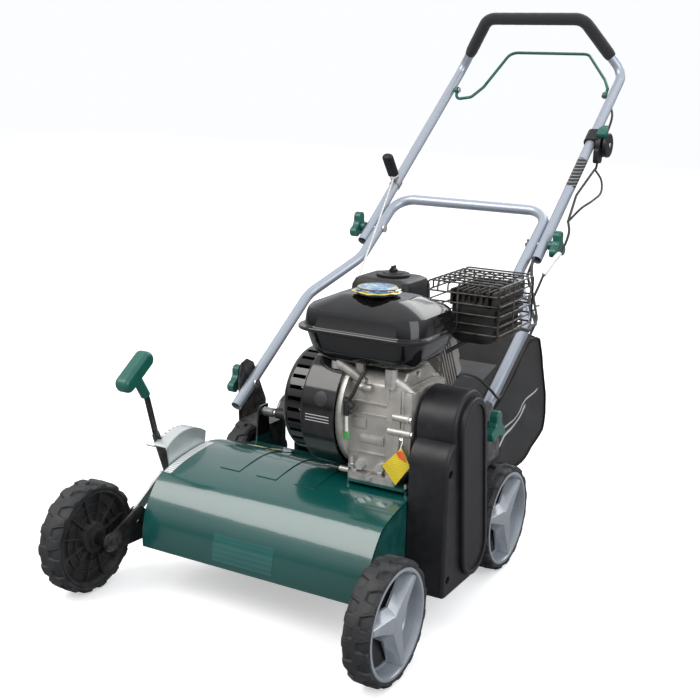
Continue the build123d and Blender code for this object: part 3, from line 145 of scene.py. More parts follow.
def material(name, colour, rough, metal=0., coat=0., vary=.10, patch=14, bump=0., grain=900,
             depth=.0001, spread=.10, wear=0., worn=None, dust=0., dust_colour=(.36, .33, .28),
             weave=0., sheen=0., scratch=0., spec=.5, pattern=None):
    """Mottled surface.

    vary, patch: colour change and scale of the mottling; spread: its range of roughness.
    bump, grain, depth: strength, scale and height (m) of the grain; weave: cloth scale.
    wear, worn: amount and colour of rubbed edges. pattern(shader, colour) returns a colour.
    """
    result = bpy.data.materials.new(name)
    result.use_nodes = True
    shader = Shader(result.node_tree)
    surface = shader.tree.nodes["Principled BSDF"]
    shader.place = shader.node("TexCoord")["Object"]

    mottle = shader.noise(patch)
    dark = tuple(c * (1 - vary) for c in colour)
    light = tuple(min(1, c * (1 + vary)) for c in colour)
    tint = shader.mix(shader.remap(mottle, .35, .65), dark, light)
    gloss = shader.remap(mottle, .3, .7, max(.02, rough - spread / 2), min(1, rough + spread / 2))
    if wear or dust:
        geometry = shader.node("NewGeometry")
    if wear:
        edges = shader.times(shader.remap(geometry["Pointiness"], .53, .60),
                             shader.remap(shader.noise(60), .38, .62))
        tint = shader.mix(shader.times(edges, wear), tint, worn)
    if scratch:
        stretched = shader.node("Mapping", {"Scale": (1, 1, 14), "Vector": shader.place})[0]
        lines = shader.remap(shader.noise(90, 3, stretched), .62, .70)
        gloss = shader.plus(gloss, shader.times(lines, scratch))
    if dust:
        # thickest on faces that look up
        facing = shader.remap(shader.xyz(geometry["Normal"])["Z"], -.2, 1., .25, 1.)
        spots = shader.remap(shader.noise(35, 8), .42, .72)
        layer = shader.times(shader.times(facing, spots), dust)
        tint = shader.mix(layer, tint, dust_colour)
        gloss = shader.plus(gloss, shader.times(layer, .5))
    if pattern:
        tint = pattern(shader, tint)
    values = {"Base Color": tint, "Roughness": gloss, "Metallic": metal, "Coat Weight": coat,
              "Coat Roughness": .06, "Specular IOR Level": spec}
    if sheen:
        values.update({"Sheen Weight": sheen, "Sheen Roughness": .5})
    if bump:
        height = shader.times(shader.noise(grain, 3), bump)
        if weave:
            x, y, z = (shader.wave(axis, weave, .4) for axis in "XYZ")
            height = shader.plus(height, shader.times(shader.plus(shader.plus(x, y), z), .5))
        values["Normal"] = shader.node("Bump", {"Distance": depth, "Strength": .8,
                                                "Height": height})[0]
    for key, value in values.items():
        shader.put(value, surface.inputs[key])
    return result


# ---------------------------------------------------------------- colour patterns
def black_ears(shader, colour):
    """The high rear corners of the deck sides are black (limits in scene metres)."""
    _, y, z = shader.xyz(shader.place)
    ears = shader.times(shader.remap(z, .190, .192), shader.remap(y, -.2315, -.2305))
    return shader.mix(ears, colour, (.009, .009, .010))


def bag_stripes(shader, colour):
    """Two pale wavy stripes on the +x end of the bag."""
    x, y, z = shader.xyz(shader.place)
    side = shader.remap(x, .19, .195)
    # start y, z; end y, z; half width, all metres with y from the front axle
    for start_y, start_z, end_y, end_z, width in ((.605, .172, .775, .232, .0030),
                                                  (.655, .208, .835, .262, .0018)):
        first, last = start_y - CENTRE_Y / 1000, end_y - CENTRE_Y / 1000
        slope = (end_z - start_z) / (last - first)
        ripple = shader.maths("SINE", shader.times(y, 55.0))
        line = shader.plus(shader.times(shader.maths("SUBTRACT", y, first), slope), start_z)
        line = shader.plus(line, shader.times(ripple, .004))
        distance = shader.maths("ABSOLUTE", shader.maths("SUBTRACT", z, line))
        stripe = shader.remap(distance, width, width + .0006, 1., 0.)
        ends = shader.times(shader.remap(y, first, first + .004),
                            shader.remap(y, last - .004, last, 1., 0.))
        stripe = shader.times(stripe, ends)
        colour = shader.mix(shader.times(stripe, side), colour, (.62, .62, .62))
    return colour


def cap_rings(shader, colour):
    """Blue disc, yellow ring and black edge on top of the fuel cap."""
    centre = pos(CAP_X, CAP_Y, 0)
    x, y, z = shader.xyz(shader.node("VectorMath", {0: shader.place, 1: (centre.x, centre.y, 0)},
                                     operation="SUBTRACT")[0])
    radius = shader.maths("SQRT", shader.plus(shader.times(x, x), shader.times(y, y)), 0)
    top = shader.remap(z, .5615, .5622)
    blue = shader.mix(shader.remap(shader.noise(45, 4), .4, .6), (.015, .12, .36), (.10, .36, .62))
    ring = shader.mix(shader.remap(radius, .0285, .0290), blue, (.55, .42, .05))
    ring = shader.mix(shader.remap(radius, .0325, .0330), ring, (.03, .03, .03))
    return shader.mix(top, colour, ring)


def pale_blotches(shader, colour):
    return shader.mix(shader.remap(shader.noise(38, 5), .47, .56), colour, (.30, .48, .62))


def bars(colour, axis, scale, threshold):
    """Pattern of bars across an axis; a higher threshold makes them thinner."""
    def pattern(shader, base):
        wave = shader.wave(axis, scale)
        return shader.mix(shader.remap(wave, threshold, threshold + .06), base, colour)
    return pattern


# ---------------------------------------------------------------- materials
DECK = dict(colour=(.002, .068, .060), vary=.04, patch=6, bump=.25, grain=260, depth=.00008,
            spread=.06, wear=.15, worn=(.10, .22, .20))
DECK_GREEN = material("deck_paint", rough=.24, coat=.8, **DECK)
DECK_SIDES = material("deck_side_paint", rough=.26, coat=.7, pattern=black_ears, **DECK)
GREEN_PLASTIC = material("green_plastic", (.008, .105, .080), rough=.36, coat=.15, patch=22,
                         bump=.5, grain=1600, depth=.00012, spread=.12, wear=.2,
                         worn=(.05, .22, .18))
PLASTIC = material("black_plastic", (.010, .010, .012), rough=.40, vary=.14, patch=12, bump=.9,
                   grain=1500, depth=.00016, spread=.12, wear=.2, worn=(.05, .05, .055),
                   dust=.03, spec=.36)
GLOSS = material("gloss_black", (.004, .004, .005), rough=.12, coat=.35, vary=.2, patch=12,
                 bump=.15, grain=200, spread=.05, wear=.15, worn=(.08, .08, .08), dust=.015,
                 scratch=.12, spec=.4)
BLACK_PAINT = material("black_paint", (.009, .009, .010), rough=.36, metal=.1, coat=.1, vary=.2,
                       patch=20, bump=.6, grain=700, depth=.00015, spread=.14, wear=.45,
                       worn=(.20, .19, .18), dust=.06)
HEAT_BLACK = material("heat_black", (.013, .012, .011), rough=.55, metal=.3, vary=.3, patch=26,
                      bump=.8, grain=500, depth=.0002, spread=.2, wear=.35,
                      worn=(.22, .17, .12), dust=.06)
TUBE = material("silver_tube", (.43, .47, .54), rough=.38, metal=.55, coat=.1, vary=.03, patch=5,
                bump=.1, depth=.00002, spread=.05)
ZINC = material("zinc", (.62, .62, .60), rough=.34, metal=.9, vary=.12, patch=70, bump=.6,
                grain=500, depth=.00012, spread=.22, wear=.4, worn=(.82, .82, .82), dust=.04)
STEEL = material("steel", (.42, .42, .43), rough=.36, metal=.95, vary=.14, patch=50, bump=.5,
                 grain=700, spread=.2, wear=.3, worn=(.7, .7, .7), dust=.05)
KNIFE = material("knife_steel", (.20, .19, .18), rough=.5, metal=.8, vary=.3, patch=60, bump=.9,
                 grain=400, depth=.0002, spread=.3, wear=.6, worn=(.6, .58, .55), dust=.1,
                 dust_colour=(.25, .15, .09))
CAST = material("cast_alloy", (.47, .45, .42), rough=.44, metal=.75, vary=.12, patch=30,
                bump=1.2, grain=420, depth=.0005, spread=.18, wear=.35, worn=(.78, .77, .74),
                dust=.05)
RUBBER = material("cable_rubber", (.016, .016, .017), rough=.52, vary=.12, patch=40, bump=.6,
                  dust=.05)
WHITE = material("white_plastic", (.80, .80, .78), rough=.35, coat=.1, vary=.05, patch=40,
                 bump=.2)
RIM_GREY = material("rim_grey", (.33, .36, .40), rough=.30, metal=.35, coat=.35, vary=.06,
                    patch=12, bump=.3, depth=.00008, wear=.25, worn=(.6, .62, .65), dust=.10)
RIM_BLACK = material("rim_black", (.014, .014, .015), rough=.5, vary=.15, patch=18, bump=.8,
                     depth=.00015, spread=.12, wear=.2, worn=(.06, .06, .06), dust=.14)
TYRE = material("tyre_rubber", (.020, .021, .024), rough=.55, vary=.25, patch=30, bump=1.2,
                grain=700, depth=.0004, spread=.16, wear=.4, worn=(.13, .125, .12), dust=.34,
                dust_colour=(.13, .12, .11), spec=.4)
FOAM = material("foam_rubber", (.012, .012, .014), rough=.78, vary=.15, patch=60, bump=2.0,
                grain=1700, depth=.0005, spread=.12, sheen=.25)
LEAD = material("ignition_rubber", (.012, .012, .012), rough=.4, vary=.12, patch=40, bump=.4)
FABRIC = material("bag_fabric", (.008, .008, .009), rough=.70, vary=.25, patch=9, bump=.5,
                  grain=600, depth=.0006, dust=.04, weave=420, sheen=.10, spec=.3,
                  pattern=bag_stripes)
PIPING = material("bag_piping", (.008, .008, .009), rough=.75, vary=.2, patch=60, bump=.6,
                  grain=1400, depth=.0003, sheen=.05, spec=.2)
CAP = material("fuel_cap", (.02, .02, .022), rough=.25, coat=.6, patch=40, bump=.5, grain=160,
               depth=.0006, pattern=cap_rings)
GALVANISED = material("galvanised", (.66, .70, .70), rough=.32, metal=.55, coat=.2, vary=.04,
                      patch=16, bump=.2, grain=700, depth=.00005, spread=.08, wear=.15,
                      worn=(.8, .8, .8), dust=.02)

PAINT = (
    (DECK_GREEN, "deck_shell engine_bracket"),
    (DECK_SIDES, "deck_sides"),
    (GREEN_PLASTIC, "bail depth_grip throttle_lever knob_lower_left knob_lower_right "
                    "knob_upper_left knob_upper_right"),
    (PLASTIC, "belt_cover belt_cover_back air_filter air_filter_knob throttle_housing "
              "starter_grip rear_flap"),
    (GLOSS, "fan_cover fuel_tank"),
    (BLACK_PAINT, "handle_brackets front_axle depth_lever bag_frame"),
    (HEAT_BLACK, "muffler muffler_guard"),
    (TUBE, "lower_handle upper_handle"),
    (GALVANISED, "depth_sector"),
    (ZINC, "chassis_bolts flap_rod handle_bolts engine_bolts depth_link"),
    (STEEL, "rear_axle bearings flap_spring crankshaft rotor_shaft tension_arm idler_pulley "
            "starter_guide"),
    (KNIFE, "rotor_knives"),
    (CAST, "crankcase cylinder carburettor"),
    (RUBBER, "drive_belt cables_upper cables_lower"),
    (LEAD, "ignition_lead"),
    (CAP, "fuel_cap"),
    (FOAM, "foam_grip"),
    (FABRIC, "collection_bag"),
    (TYRE, " ".join(part for part in PARTS if part.startswith("tyre_"))),
    (RIM_GREY, " ".join(part for part in PARTS if part.startswith("rim_"))),
)
for finish, names in PAINT:
    for part in names.split():
        slots = PARTS[part].data.materials
        slots.clear()
        slots.append(finish)


# ---------------------------------------------------------------- mesh helpers
# A mesh is a pair: list of points, list of faces.
def link(name, data):
    item = bpy.data.objects.new(name, data)
    bpy.context.scene.collection.objects.link(item)
    return item


def add(name, mesh, finish, body=None, angle=35, replaces=None):
    """Makes a smooth-shaded object; edges bent more than `angle` degrees stay sharp."""
    points, faces = mesh
    data = bpy.data.meshes.new(name)
    data.from_pydata([tuple(p) for p in points], [], [tuple(f) for f in faces])
    data.validate()
    work = bmesh.new()
    work.from_mesh(data)
    bmesh.ops.recalc_face_normals(work, faces=work.faces)
    for face in work.faces:
        face.smooth = True
    for edge in work.edges:
        if len(edge.link_faces) == 2 and edge.calc_face_angle(0) > math.radians(angle):
            edge.smooth = False
    work.to_mesh(data)
    work.free()
    data.materials.append(finish)
    item = link(name, data)
    if body:
        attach(item, body)
    if replaces:
        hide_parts(replaces)
    return item


def angles(count):
    return [2 * math.pi * k / count for k in range(count)]


def straight(start, end, steps):
    return [start + (end - start) * (i / steps) for i in range(steps + 1)]


def spline(points, steps=12):
    """Smooth curve through all the points."""
    knots = [Vector(p) for p in points]
    knots = [knots[0] * 2 - knots[1]] + knots + [knots[-1] * 2 - knots[-2]]
    out = []
    for a, b, c, d in zip(knots, knots[1:], knots[2:], knots[3:]):
        for k in range(steps):
            t = k / steps
            out.append(.5 * ((2 * b) + (c - a) * t + (2 * a - 5 * b + 4 * c - d) * t * t
                             + (3 * b - a - 3 * c + d) * t ** 3))
    out.append(knots[-2])
    return out


def rounded(points, radius, steps=5):
    """Polyline with its corners rounded to a radius in metres."""
    out = [points[0]]
    for before, corner, after in zip(points, points[1:], points[2:]):
        back, ahead = (before - corner).normalized(), (after - corner).normalized()
        angle = back.angle(ahead, math.pi)
        if math.pi - angle < .02:
            out.append(corner)
            continue
        cut = min(radius / math.tan(angle / 2), (before - corner).length * .49,
                  (after - corner).length * .49)
        for k in range(steps + 1):
            t = k / steps
            out.append((corner + back * cut) * (1 - t) ** 2 + corner * 2 * t * (1 - t)
                       + (corner + ahead * cut) * t * t)
    out.append(points[-1])
    return out


def skin(rows, close_rows=False, close_columns=False):
    """Quads over rows of points; either direction may join up with its start."""
    count, width = len(rows), len(rows[0])
    faces = []
    for i in range(count if close_rows else count - 1):
        here, there = i * width, (i + 1) % count * width
        for j in range(width if close_columns else width - 1):
            k = (j + 1) % width
            faces.append((here + j, here + k, there + k, there + j))
    return [p for row in rows for p in row], faces


def loft(rings):
    """Solid through closed rings of points."""
    points, faces = skin(rings, close_columns=True)
    width = len(rings[0])
    faces += [tuple(range(width)), tuple(range(len(points) - width, len(points)))]
    return points, faces


def sweep(path, radius, sides=12, closed=False):
    """Round rod along a path; radius is one number or a list, one per point."""
    count = len(path)
    radii = radius if isinstance(radius, list) else [radius] * count
    tangents = []
    for i in range(count):
        before = path[(i - 1) % count] if closed or i > 0 else path[i]
        after = path[(i + 1) % count] if closed or i < count - 1 else path[i]
        tangents.append((after - before).normalized())
    reference = Vector((0, 0, 1)) if abs(tangents[0].z) < .9 else Vector((1, 0, 0))
    side = tangents[0].cross(reference).normalized()
    rows = []
    for point, tangent, size in zip(path, tangents, radii):
        side = (side - tangent * side.dot(tangent)).normalized()
        other = tangent.cross(side)
        rows.append([point + (side * math.cos(a) + other * math.sin(a)) * size
                     for a in angles(sides)])
    points, faces = skin(rows, closed, True)
    if not closed:
        faces.append(tuple(range(sides))[::-1])
        faces.append(tuple(range(len(points) - sides, len(points))))
    return points, faces


def join(parts):
    points, faces = [], []
    for part_points, part_faces in parts:
        start = len(points)
        points += part_points
        faces += [tuple(i + start for i in face) for face in part_faces]
    return points, faces


def turn(station, segments, closed=False):
    """Surface through station(angle), a row of points, taken round a full turn."""
    return skin([station(a) for a in angles(segments)], True, closed)


def lathe_x(profile, y, z, segments, closed=False):
    """Turns (x, radius) pairs about the line parallel to x through y, z."""
    return turn(lambda a: [pos(x, y + radius * math.cos(a), z + radius * math.sin(a))
                           for x, radius in profile], segments, closed)


def lathe_z(profile, x, y, segments=48):
    """Turns (radius, z) pairs about the upright line through x, y."""
    return turn(lambda a: [pos(x + radius * math.cos(a), y + radius * math.sin(a), z)
                           for radius, z in profile], segments)


def rod_x(start, end, y, z, radius, sides=20):
    """Solid rod along x with chamfered ends."""
    return lathe_x([(start, .01), (start, radius - .8), (start + .8, radius),
                    (end - .8, radius), (end, radius - .8), (end, .01)], y, z, sides)


def box(low, high, chamfer, place=pos):
    """Box between two corners with chamfered edges."""
    work = bmesh.new()
    bmesh.ops.create_cube(work, size=1)
    for vert in work.verts:
        vert.co = Vector((low[i] + (vert.co[i] + .5) * (high[i] - low[i]) for i in range(3)))
    bmesh.ops.bevel(work, geom=list(work.edges), offset=chamfer, segments=2, profile=.6,
                    affect="EDGES")
    points = [place(*vert.co) for vert in work.verts]
    faces = [[vert.index for vert in face.verts] for face in work.faces]
    work.free()
    return points, faces


def rounded_box(rows, centre_x, centre_y, corner_points):
    """Stacked rounded rectangles; rows are z, half width in x, half depth in y, radius."""
    rings = []
    for z, half_x, half_y, radius in rows:
        ring = []
        for sign_x, sign_y, start in ((1, 1, 0), (-1, 1, 90), (-1, -1, 180), (1, -1, 270)):
            for i in range(corner_points):
                a = math.radians(start + 90 * i / (corner_points - 1))
                ring.append(pos(centre_x + sign_x * (half_x - radius) + radius * math.cos(a),
                                centre_y + sign_y * (half_y - radius) + radius * math.sin(a), z))
        rings.append(ring)
    return loft(rings)


def sheet_faces(columns, rows, back_order):
    """Faces of a front grid, a back grid and the edge; back_order lists a back quad's corners."""
    width = columns + 1
    back = width * (rows + 1)
    faces = []
    for j in range(rows):
        for i in range(columns):
            k = j * width + i
            quad = (k, k + 1, k + width + 1, k + width)
            faces += [quad, tuple(back + quad[c] for c in back_order)]
    edge = list(range(width)) + [(j + 1) * width - 1 for j in range(1, rows + 1)]
    edge += [rows * width + i for i in range(columns - 1, -1, -1)]
    edge += [j * width for j in range(rows - 1, 0, -1)]
    for i, j in zip(edge, edge[1:] + edge[:1]):
        faces.append((i, j, back + j, back + i))
    return faces


def smooth_step(x):
    x = np.clip(x, 0, 1)
    return x * x * (3 - 2 * x)


# ---------------------------------------------------------------- wheels
# name, body, lowest x, highest x, axle y, turn of the star in degrees
WHEELS = (("front_left", "wheel_fl", -323, -277, 0, 80),
          ("front_right", "wheel_fr", 277, 323, 0, 47),
          ("rear_left", "wheel_rl", -299, -255, 488, 20),
          ("rear_right", "wheel_rr", 255, 299, 488, 45))
LUGS = 16
LUG_PITCH = 2 * math.pi / LUGS
# tyre side: share of the half width, radius
TYRE_SIDE = [(.86, 87.0), (.98, 88.6), (1.0, 91.5), (.99, 94.0)]
# star arm: distance from axle; half width and depth of its face; the same of its foot
RIM_ARM = ((-4, 14.0, 2.2, 27, 14), (22, 12.0, 2.4, 25, 16),
           (50, 7.5, 2.4, 15, 20), (79.8, 4.6, 1.8, 9, 23))
# star ring: depth below the outer face, radius
RIM_RING = ((3, 89), (.8, 87.5), (.4, 85.5), (.8, 82.5), (4, 81), (12, 79.5), (24, 76.5),
            (27, 74), (29, 74), (29, 84), (12, 86.8))
RIB_FACES = [(0, 1, 2, 3), (4, 5, 6, 7), (0, 1, 5, 4), (1, 2, 6, 5), (2, 3, 7, 6), (3, 0, 4, 7)]


def lug_phase(angle, across, lean):
    """Place within one lug pitch, -.5 to .5; the +x half is shifted by half a pitch."""
    shift = LUG_PITCH / 2 if across > 0 else 0
    return ((angle + shift + .10 * lean * LUG_PITCH) / LUG_PITCH) % 1.0 - .5


def tread_radius(angle, across, radius):
    reach = abs(across)
    if radius > 95:                     # crown: pockets, thin lines and a centre rib
        phase = abs(lug_phase(angle, across, reach))
        half = .16 + .15 * reach
        pocket = smooth_step((half - phase) / .02) * smooth_step((reach - .15) / .05)
        line = (smooth_step((.035 - abs(phase - half - .06)) / .02)
                * smooth_step((reach - .3) / .1))
        radius = radius - 4.0 * pocket - .8 * line * (1 - pocket)
        return radius + .35 * math.exp(-(across / .035) ** 2) - .25
    if radius > 93:                     # shoulder notches
        return radius - 1.2 * smooth_step((.30 - abs(lug_phase(angle, across, 1))) / .04)
    return radius


def tyre(tag, body, x0, x1, axle_y):
    half, centre = (x1 - x0) / 2, (x0 + x1) / 2
    profile = [(-across, radius) for across, radius in TYRE_SIDE]
    profile += [(u, 100.0 - 2.6 * max(0, abs(u) - .72) / .25 - .5 * abs(u) ** 2)
                for u in np.linspace(-.965, .965, 31)]
    profile += TYRE_SIDE[::-1]

    def station(angle):
        row = []
        for across, base in profile:
            radius = tread_radius(angle, across, base)
            row.append(pos(centre + across * half, axle_y + radius * math.cos(angle),
                           AXLE_Z + radius * math.sin(angle)))
        return row
    add("tread_" + tag, turn(station, LUGS * 30, True), TYRE, body, angle=50,
        replaces="tyre_" + tag)


def spoke_point(x, axle_y, degrees, along, aside):
    """Point at a distance along a spoke and aside from it."""
    cos, sin = math.cos(math.radians(degrees)), math.sin(math.radians(degrees))
    return pos(x, axle_y + cos * along - sin * aside, AXLE_Z + sin * along + cos * aside)


def rim_star(tag, body, outer, axle_y, twist):
    """Outer ring and three faceted arms; outer(depth) gives x below the outer face."""
    parts = [lathe_x([(outer(depth), radius) for depth, radius in RIM_RING],
                     axle_y, AXLE_Z, 96, True)]
    for k in range(3):
        rings = []
        for along, face, top, foot, bottom in RIM_ARM:
            section = ((-foot, bottom), (-face - 1.2, top + 2.2), (-face, top), (0, top - .7),
                       (face, top), (face + 1.2, top + 2.2), (foot, bottom),
                       (foot, bottom + 4), (-foot, bottom + 4))
            rings.append([spoke_point(outer(depth), axle_y, twist + 120 * k, along, aside)
                          for aside, depth in section])
        parts.append(loft(rings))
    add("rim_star_" + tag, join(parts), RIM_GREY, body, angle=22, replaces="rim_" + tag)


def rim_back(tag, body, inner, axle_y):
    """Black inner disc with rings and ribs; inner(depth) gives x from the inner face."""
    hub = -4 if axle_y == 0 else 0
    disc = ((1, 87), (1, 82), (5, 80), (13, 78), (13, 30), (3, 27), (2, 18), (hub, 16.5),
            (hub, 6.2), (18, 6.2), (17, 84), (14, 86.9))
    parts = [lathe_x([(inner(depth), radius) for depth, radius in disc],
                     axle_y, AXLE_Z, 72, True)]
    for radius in (44, 62):
        parts.append(lathe_x([(inner(9), radius - 1), (inner(9), radius + 1),
                              (inner(14), radius + 1.4), (inner(14), radius - 1.4)],
                             axle_y, AXLE_Z, 60, True))
    for k in range(12):
        points = []
        for along, edge in ((26, 5), (80, 6.5)):
            for aside, depth in ((-1.4, 14), (1.4, 14), (1.1, edge), (-1.1, edge)):
                points.append(spoke_point(inner(depth), axle_y, 30 * k + 15, along, aside))
        parts.append((points, RIB_FACES))
    add("rim_back_" + tag, join(parts), RIM_BLACK, body, angle=30)


for tag, body, x0, x1, axle_y, twist in WHEELS:
    side = 1 if x0 > 0 else -1
    outer_x, inner_x = (x1, x0) if side > 0 else (x0, x1)
    tyre(tag, body, x0, x1, axle_y)
    rim_star(tag, body, lambda depth: outer_x - side * depth, axle_y, twist)
    rim_back(tag, body, lambda depth: inner_x + side * depth, axle_y)


# ---------------------------------------------------------------- foam grip
def foam_sleeve():
    """Lumpy foam round the top of the handle, with eased ends."""
    ends = [upper(572.5, x) for x in (205, -205)]
    tops = [pos(x, 1239, 1031) for x in (119, -119)]
    path = rounded([ends[0] + (tops[0] - ends[0]) * .3, tops[0], tops[1],
                    ends[1] + (tops[1] - ends[1]) * .3], .038, 10)
    dense = []
    for start, end in zip(path, path[1:]):
        dense += straight(start, end, max(1, int((end - start).length / .006)))[:-1]
    dense.append(path[-1])
    radii = []
    for i in range(len(dense)):
        easing = {0: .0022, 1: .0008}.get(min(i, len(dense) - 1 - i), 0)
        radii.append(.0142 - easing + .00018 * math.sin(i * 1.7) * math.sin(i * .61))
    add("foam_sleeve", sweep(dense, radii, 24), FOAM, "handle_up", angle=60,
        replaces="foam_grip")


foam_sleeve()


# ---------------------------------------------------------------- muffler guard
def muffler_cage():
    """Wire cage: hoops across x, hoops along y, and level rings."""
    x0, x1, y0, y1, z0, z1 = 181.6, 315.4, 345.6, 500.0, 479., 564.0
    hem, short = 546, 486               # z of the plain wire ends and of the long -x ends
    wire = .0016
    middle = (x0 + x1) / 2
    parts = []
    for i in range(8):
        y = y0 + (y1 - y0) * i / 7
        left = short if i in (0, 7) else hem
        right = z0 if i in (0, 3, 7) else hem
        parts.append(sweep(rounded([pos(x0, y, left), pos(x0, y, z1), pos(x1, y, z1),
                                    pos(x1, y, right)], .009), wire, 8))
    for i in range(8):
        x = x0 + (x1 - x0) * i / 7
        end = {0: short, 3: z0, 7: z0}.get(i, hem)
        parts.append(sweep(rounded([pos(x, y0, end), pos(x, y0, z1 - 2.6),
                                    pos(x, y1, z1 - 2.6), pos(x, y1, end)], .009), wire, 8))
    for z in (hem, 529, 512, 495):
        parts.append(sweep(rounded([pos(middle, y0, z), pos(x1, y0, z), pos(x1, y1, z),
                                    pos(x0, y1, z), pos(x0, y0, z), pos(middle, y0, z)], .010),
                           wire, 8))
    parts.append(sweep(rounded([pos(222, y0, z0), pos(x1, y0, z0), pos(x1, y1, z0),
                                pos(222, y1, z0)], .010), .0018, 8))
    add("muffler_cage", join(parts), BLACK_PAINT, "chassis", angle=60,
        replaces="muffler_guard")


def muffler_louvres():
    """Louvred heat shield inside the cage: top slats, then slats on the +x side."""
    parts = []
    for i in range(8):
        x = 222 + i * 11.0
        parts.append(box((x, 350, 524), (x + 5.5, 485, 552), 2.2))
    for i in range(6):
        z = 466 + i * 11.5
        parts.append(box((305, 362, z), (309.5, 474, z + 6.0), 1.2))
    add("muffler_louvres", join(parts), HEAT_BLACK, "chassis", angle=40)


muffler_cage()
muffler_louvres()


# ---------------------------------------------------------------- engine trim
# x from and to, y, z, radius
CASE_RODS = ((200, 231, 196, 357, 6.5), (192, 234, 196, 332, 6.5), (134, 158, 199, 398, 7),
             (100, 119, 197, 248, 5))
# low corner, high corner, chamfer
CASE_BOXES = [((188, 199, 262), (233, 330, 402), 9), ((215.4, 195, 266), (218.8, 332, 404), 1.2)]
CASE_BOXES += [((120, 195.2, z), (188, 200, z + 3.2), 1) for z in (284, 352, 372)]
CASE_BOXES += [((188, 195, 262), (191.4, 201, 404), .8), ((136, 195.5, 302), (184, 200, 319), 3),
               ((140, 194.4, 306), (180, 200, 315), 2), ((122, 195.5, 326), (150, 200, 346), 4)]


def crankcase_ribs():
    parts = [rod_x(*row) for row in CASE_RODS] + [box(*row) for row in CASE_BOXES]
    # brackets that carry the tank
    parts += [
        sweep([pos(90, 201, 434), pos(108, 202, 424), pos(140, 206, 404)],
              [.011, .0105, .008], 14),
        sweep([pos(90, 201, 437), pos(90, 201, 424)], .011, 16),
        sweep([pos(192, 201, 437), pos(192, 201, 404)], .0105, 16),
        sweep([pos(192, 203, 420), pos(210, 208, 408), pos(228, 212, 394)],
              [.009, .009, .007], 14)]
    add("crankcase_ribs", join(parts), CAST, "chassis")


def case_bolt_heads():
    parts = [rod_x(231, 235, 196, 357, 4.6, 6), rod_x(234, 237, 196, 332, 4.6, 6)]
    for x, y, bottom, top in ((92, 198, 412, 425), (196, 197, 402, 410), (126, 191, 256, 276)):
        parts.append(sweep([pos(x, y, bottom), pos(x, y, top)], .0030, 10))
        parts.append(sweep([pos(x, y, bottom + 2), pos(x, y, bottom + 7)], .0058, 6))
    parts.append(sweep([pos(160, 196, 246), pos(160, 186, 246)], .0062, 6))
    add("case_bolt_heads", join(parts), ZINC, "chassis", angle=30)


def oil_switch_lead():
    """Lead with plug, white sleeve and green ring in front of the fan backing plate."""
    y = 181
    add("oil_switch_lead", join([
        sweep(spline([pos(145, 192, 426), pos(139, 184, 408), pos(131, y, 388),
                      pos(122, y, 374), pos(120, y, 352)], 10), .0034, 10),
        sweep([pos(114, y, 377), pos(132, y, 366)], .0062, 12),
        sweep([pos(122, y, 376), pos(119.5, y, 350)], [.0068, .0048], 12),
        sweep([pos(122, y, 366), pos(131, y, 354)], [.0056, .0034], 10)]),
        RUBBER, "chassis")
    add("lead_sleeve", sweep([pos(119.4, y, 352), pos(120.5, y, 322)], .0030, 12),
        WHITE, "chassis")
    loop = [pos(120.8 + 3.4 * math.cos(a), y, 315 + 6.5 * math.sin(a)) for a in angles(24)]
    green = material("lead_ring_green", (.02, .55, .06), rough=.4, coat=.2, vary=.08, patch=60,
                     bump=.3, grain=400)
    add("lead_ring", sweep(loop, .0013, 8, closed=True), green, "chassis")


crankcase_ribs()
case_bolt_heads()
oil_switch_lead()
add("recoil_boss", lathe_x([(-9.4, .01), (-9.4, 8), (-8.6, 9.4), (-8, 9.4)], 268, 344, 32),
    PLASTIC, "chassis")

# ---------------------------------------------------------------- fuel tank
# z, half width in x, half depth in y, corner radius
TANK_ROWS = (
    (438, 78, 52, 30), (440, 87, 60, 33), (446, 95, 67, 35), (460, 103, 75, 37),
    (488, 111, 83, 40), (489.6, 113, 85, 40), (489.8, 120.5, 92.5, 42), (491, 121.5, 93.5, 42),
    (494.6, 121.5, 93.5, 42), (495.8, 120.5, 92.5, 42), (496.2, 114, 86, 40), (498, 113, 85, 40),
    (518, 111, 83, 40), (526, 108, 80, 39), (531, 103, 75, 37), (543, 76, 50, 28),
    (547.5, 66, 41, 24), (549.5, 57, 33, 20))
# radius, z of the cap seat
CAP_SEAT = ((.01, 547), (24, 547), (24.6, 549), (24.6, 552.6), (.01, 552.6))
add("tank_body", join([rounded_box(TANK_ROWS, 140, 250, 14), lathe_z(CAP_SEAT, CAP_X, CAP_Y)]),
    GLOSS, "chassis", angle=24, replaces="fuel_tank")


def crumpled_film(edge, middle_z, edge_z, ripple, seed):
    """Thin disc over the fuel cap with a ragged, drooping edge."""
    segments, rings = 72, 8

    def station(a):
        wobble = (math.sin(5 * a + seed) + .6 * math.sin(11 * a + 2 * seed)
                  + .5 * math.sin(17 * a + .7))
        row = []
        for k in range(rings + 1):
            t = k / rings
            radius = (edge + ripple * wobble * t ** 3) * (.02 + .98 * t)
            z = (middle_z + (edge_z - middle_z) * t ** 6 + .35 * math.sin(9 * a + 6 * t) * t
                 + .3 * math.sin(4 * a - 9 * t))
            row.append(pos(CAP_X + radius * math.cos(a), CAP_Y + radius * math.sin(a), z))
        return row
    points, faces = turn(station, segments)
    faces.append(tuple(k * (rings + 1) for k in range(segments)))
    return points, faces


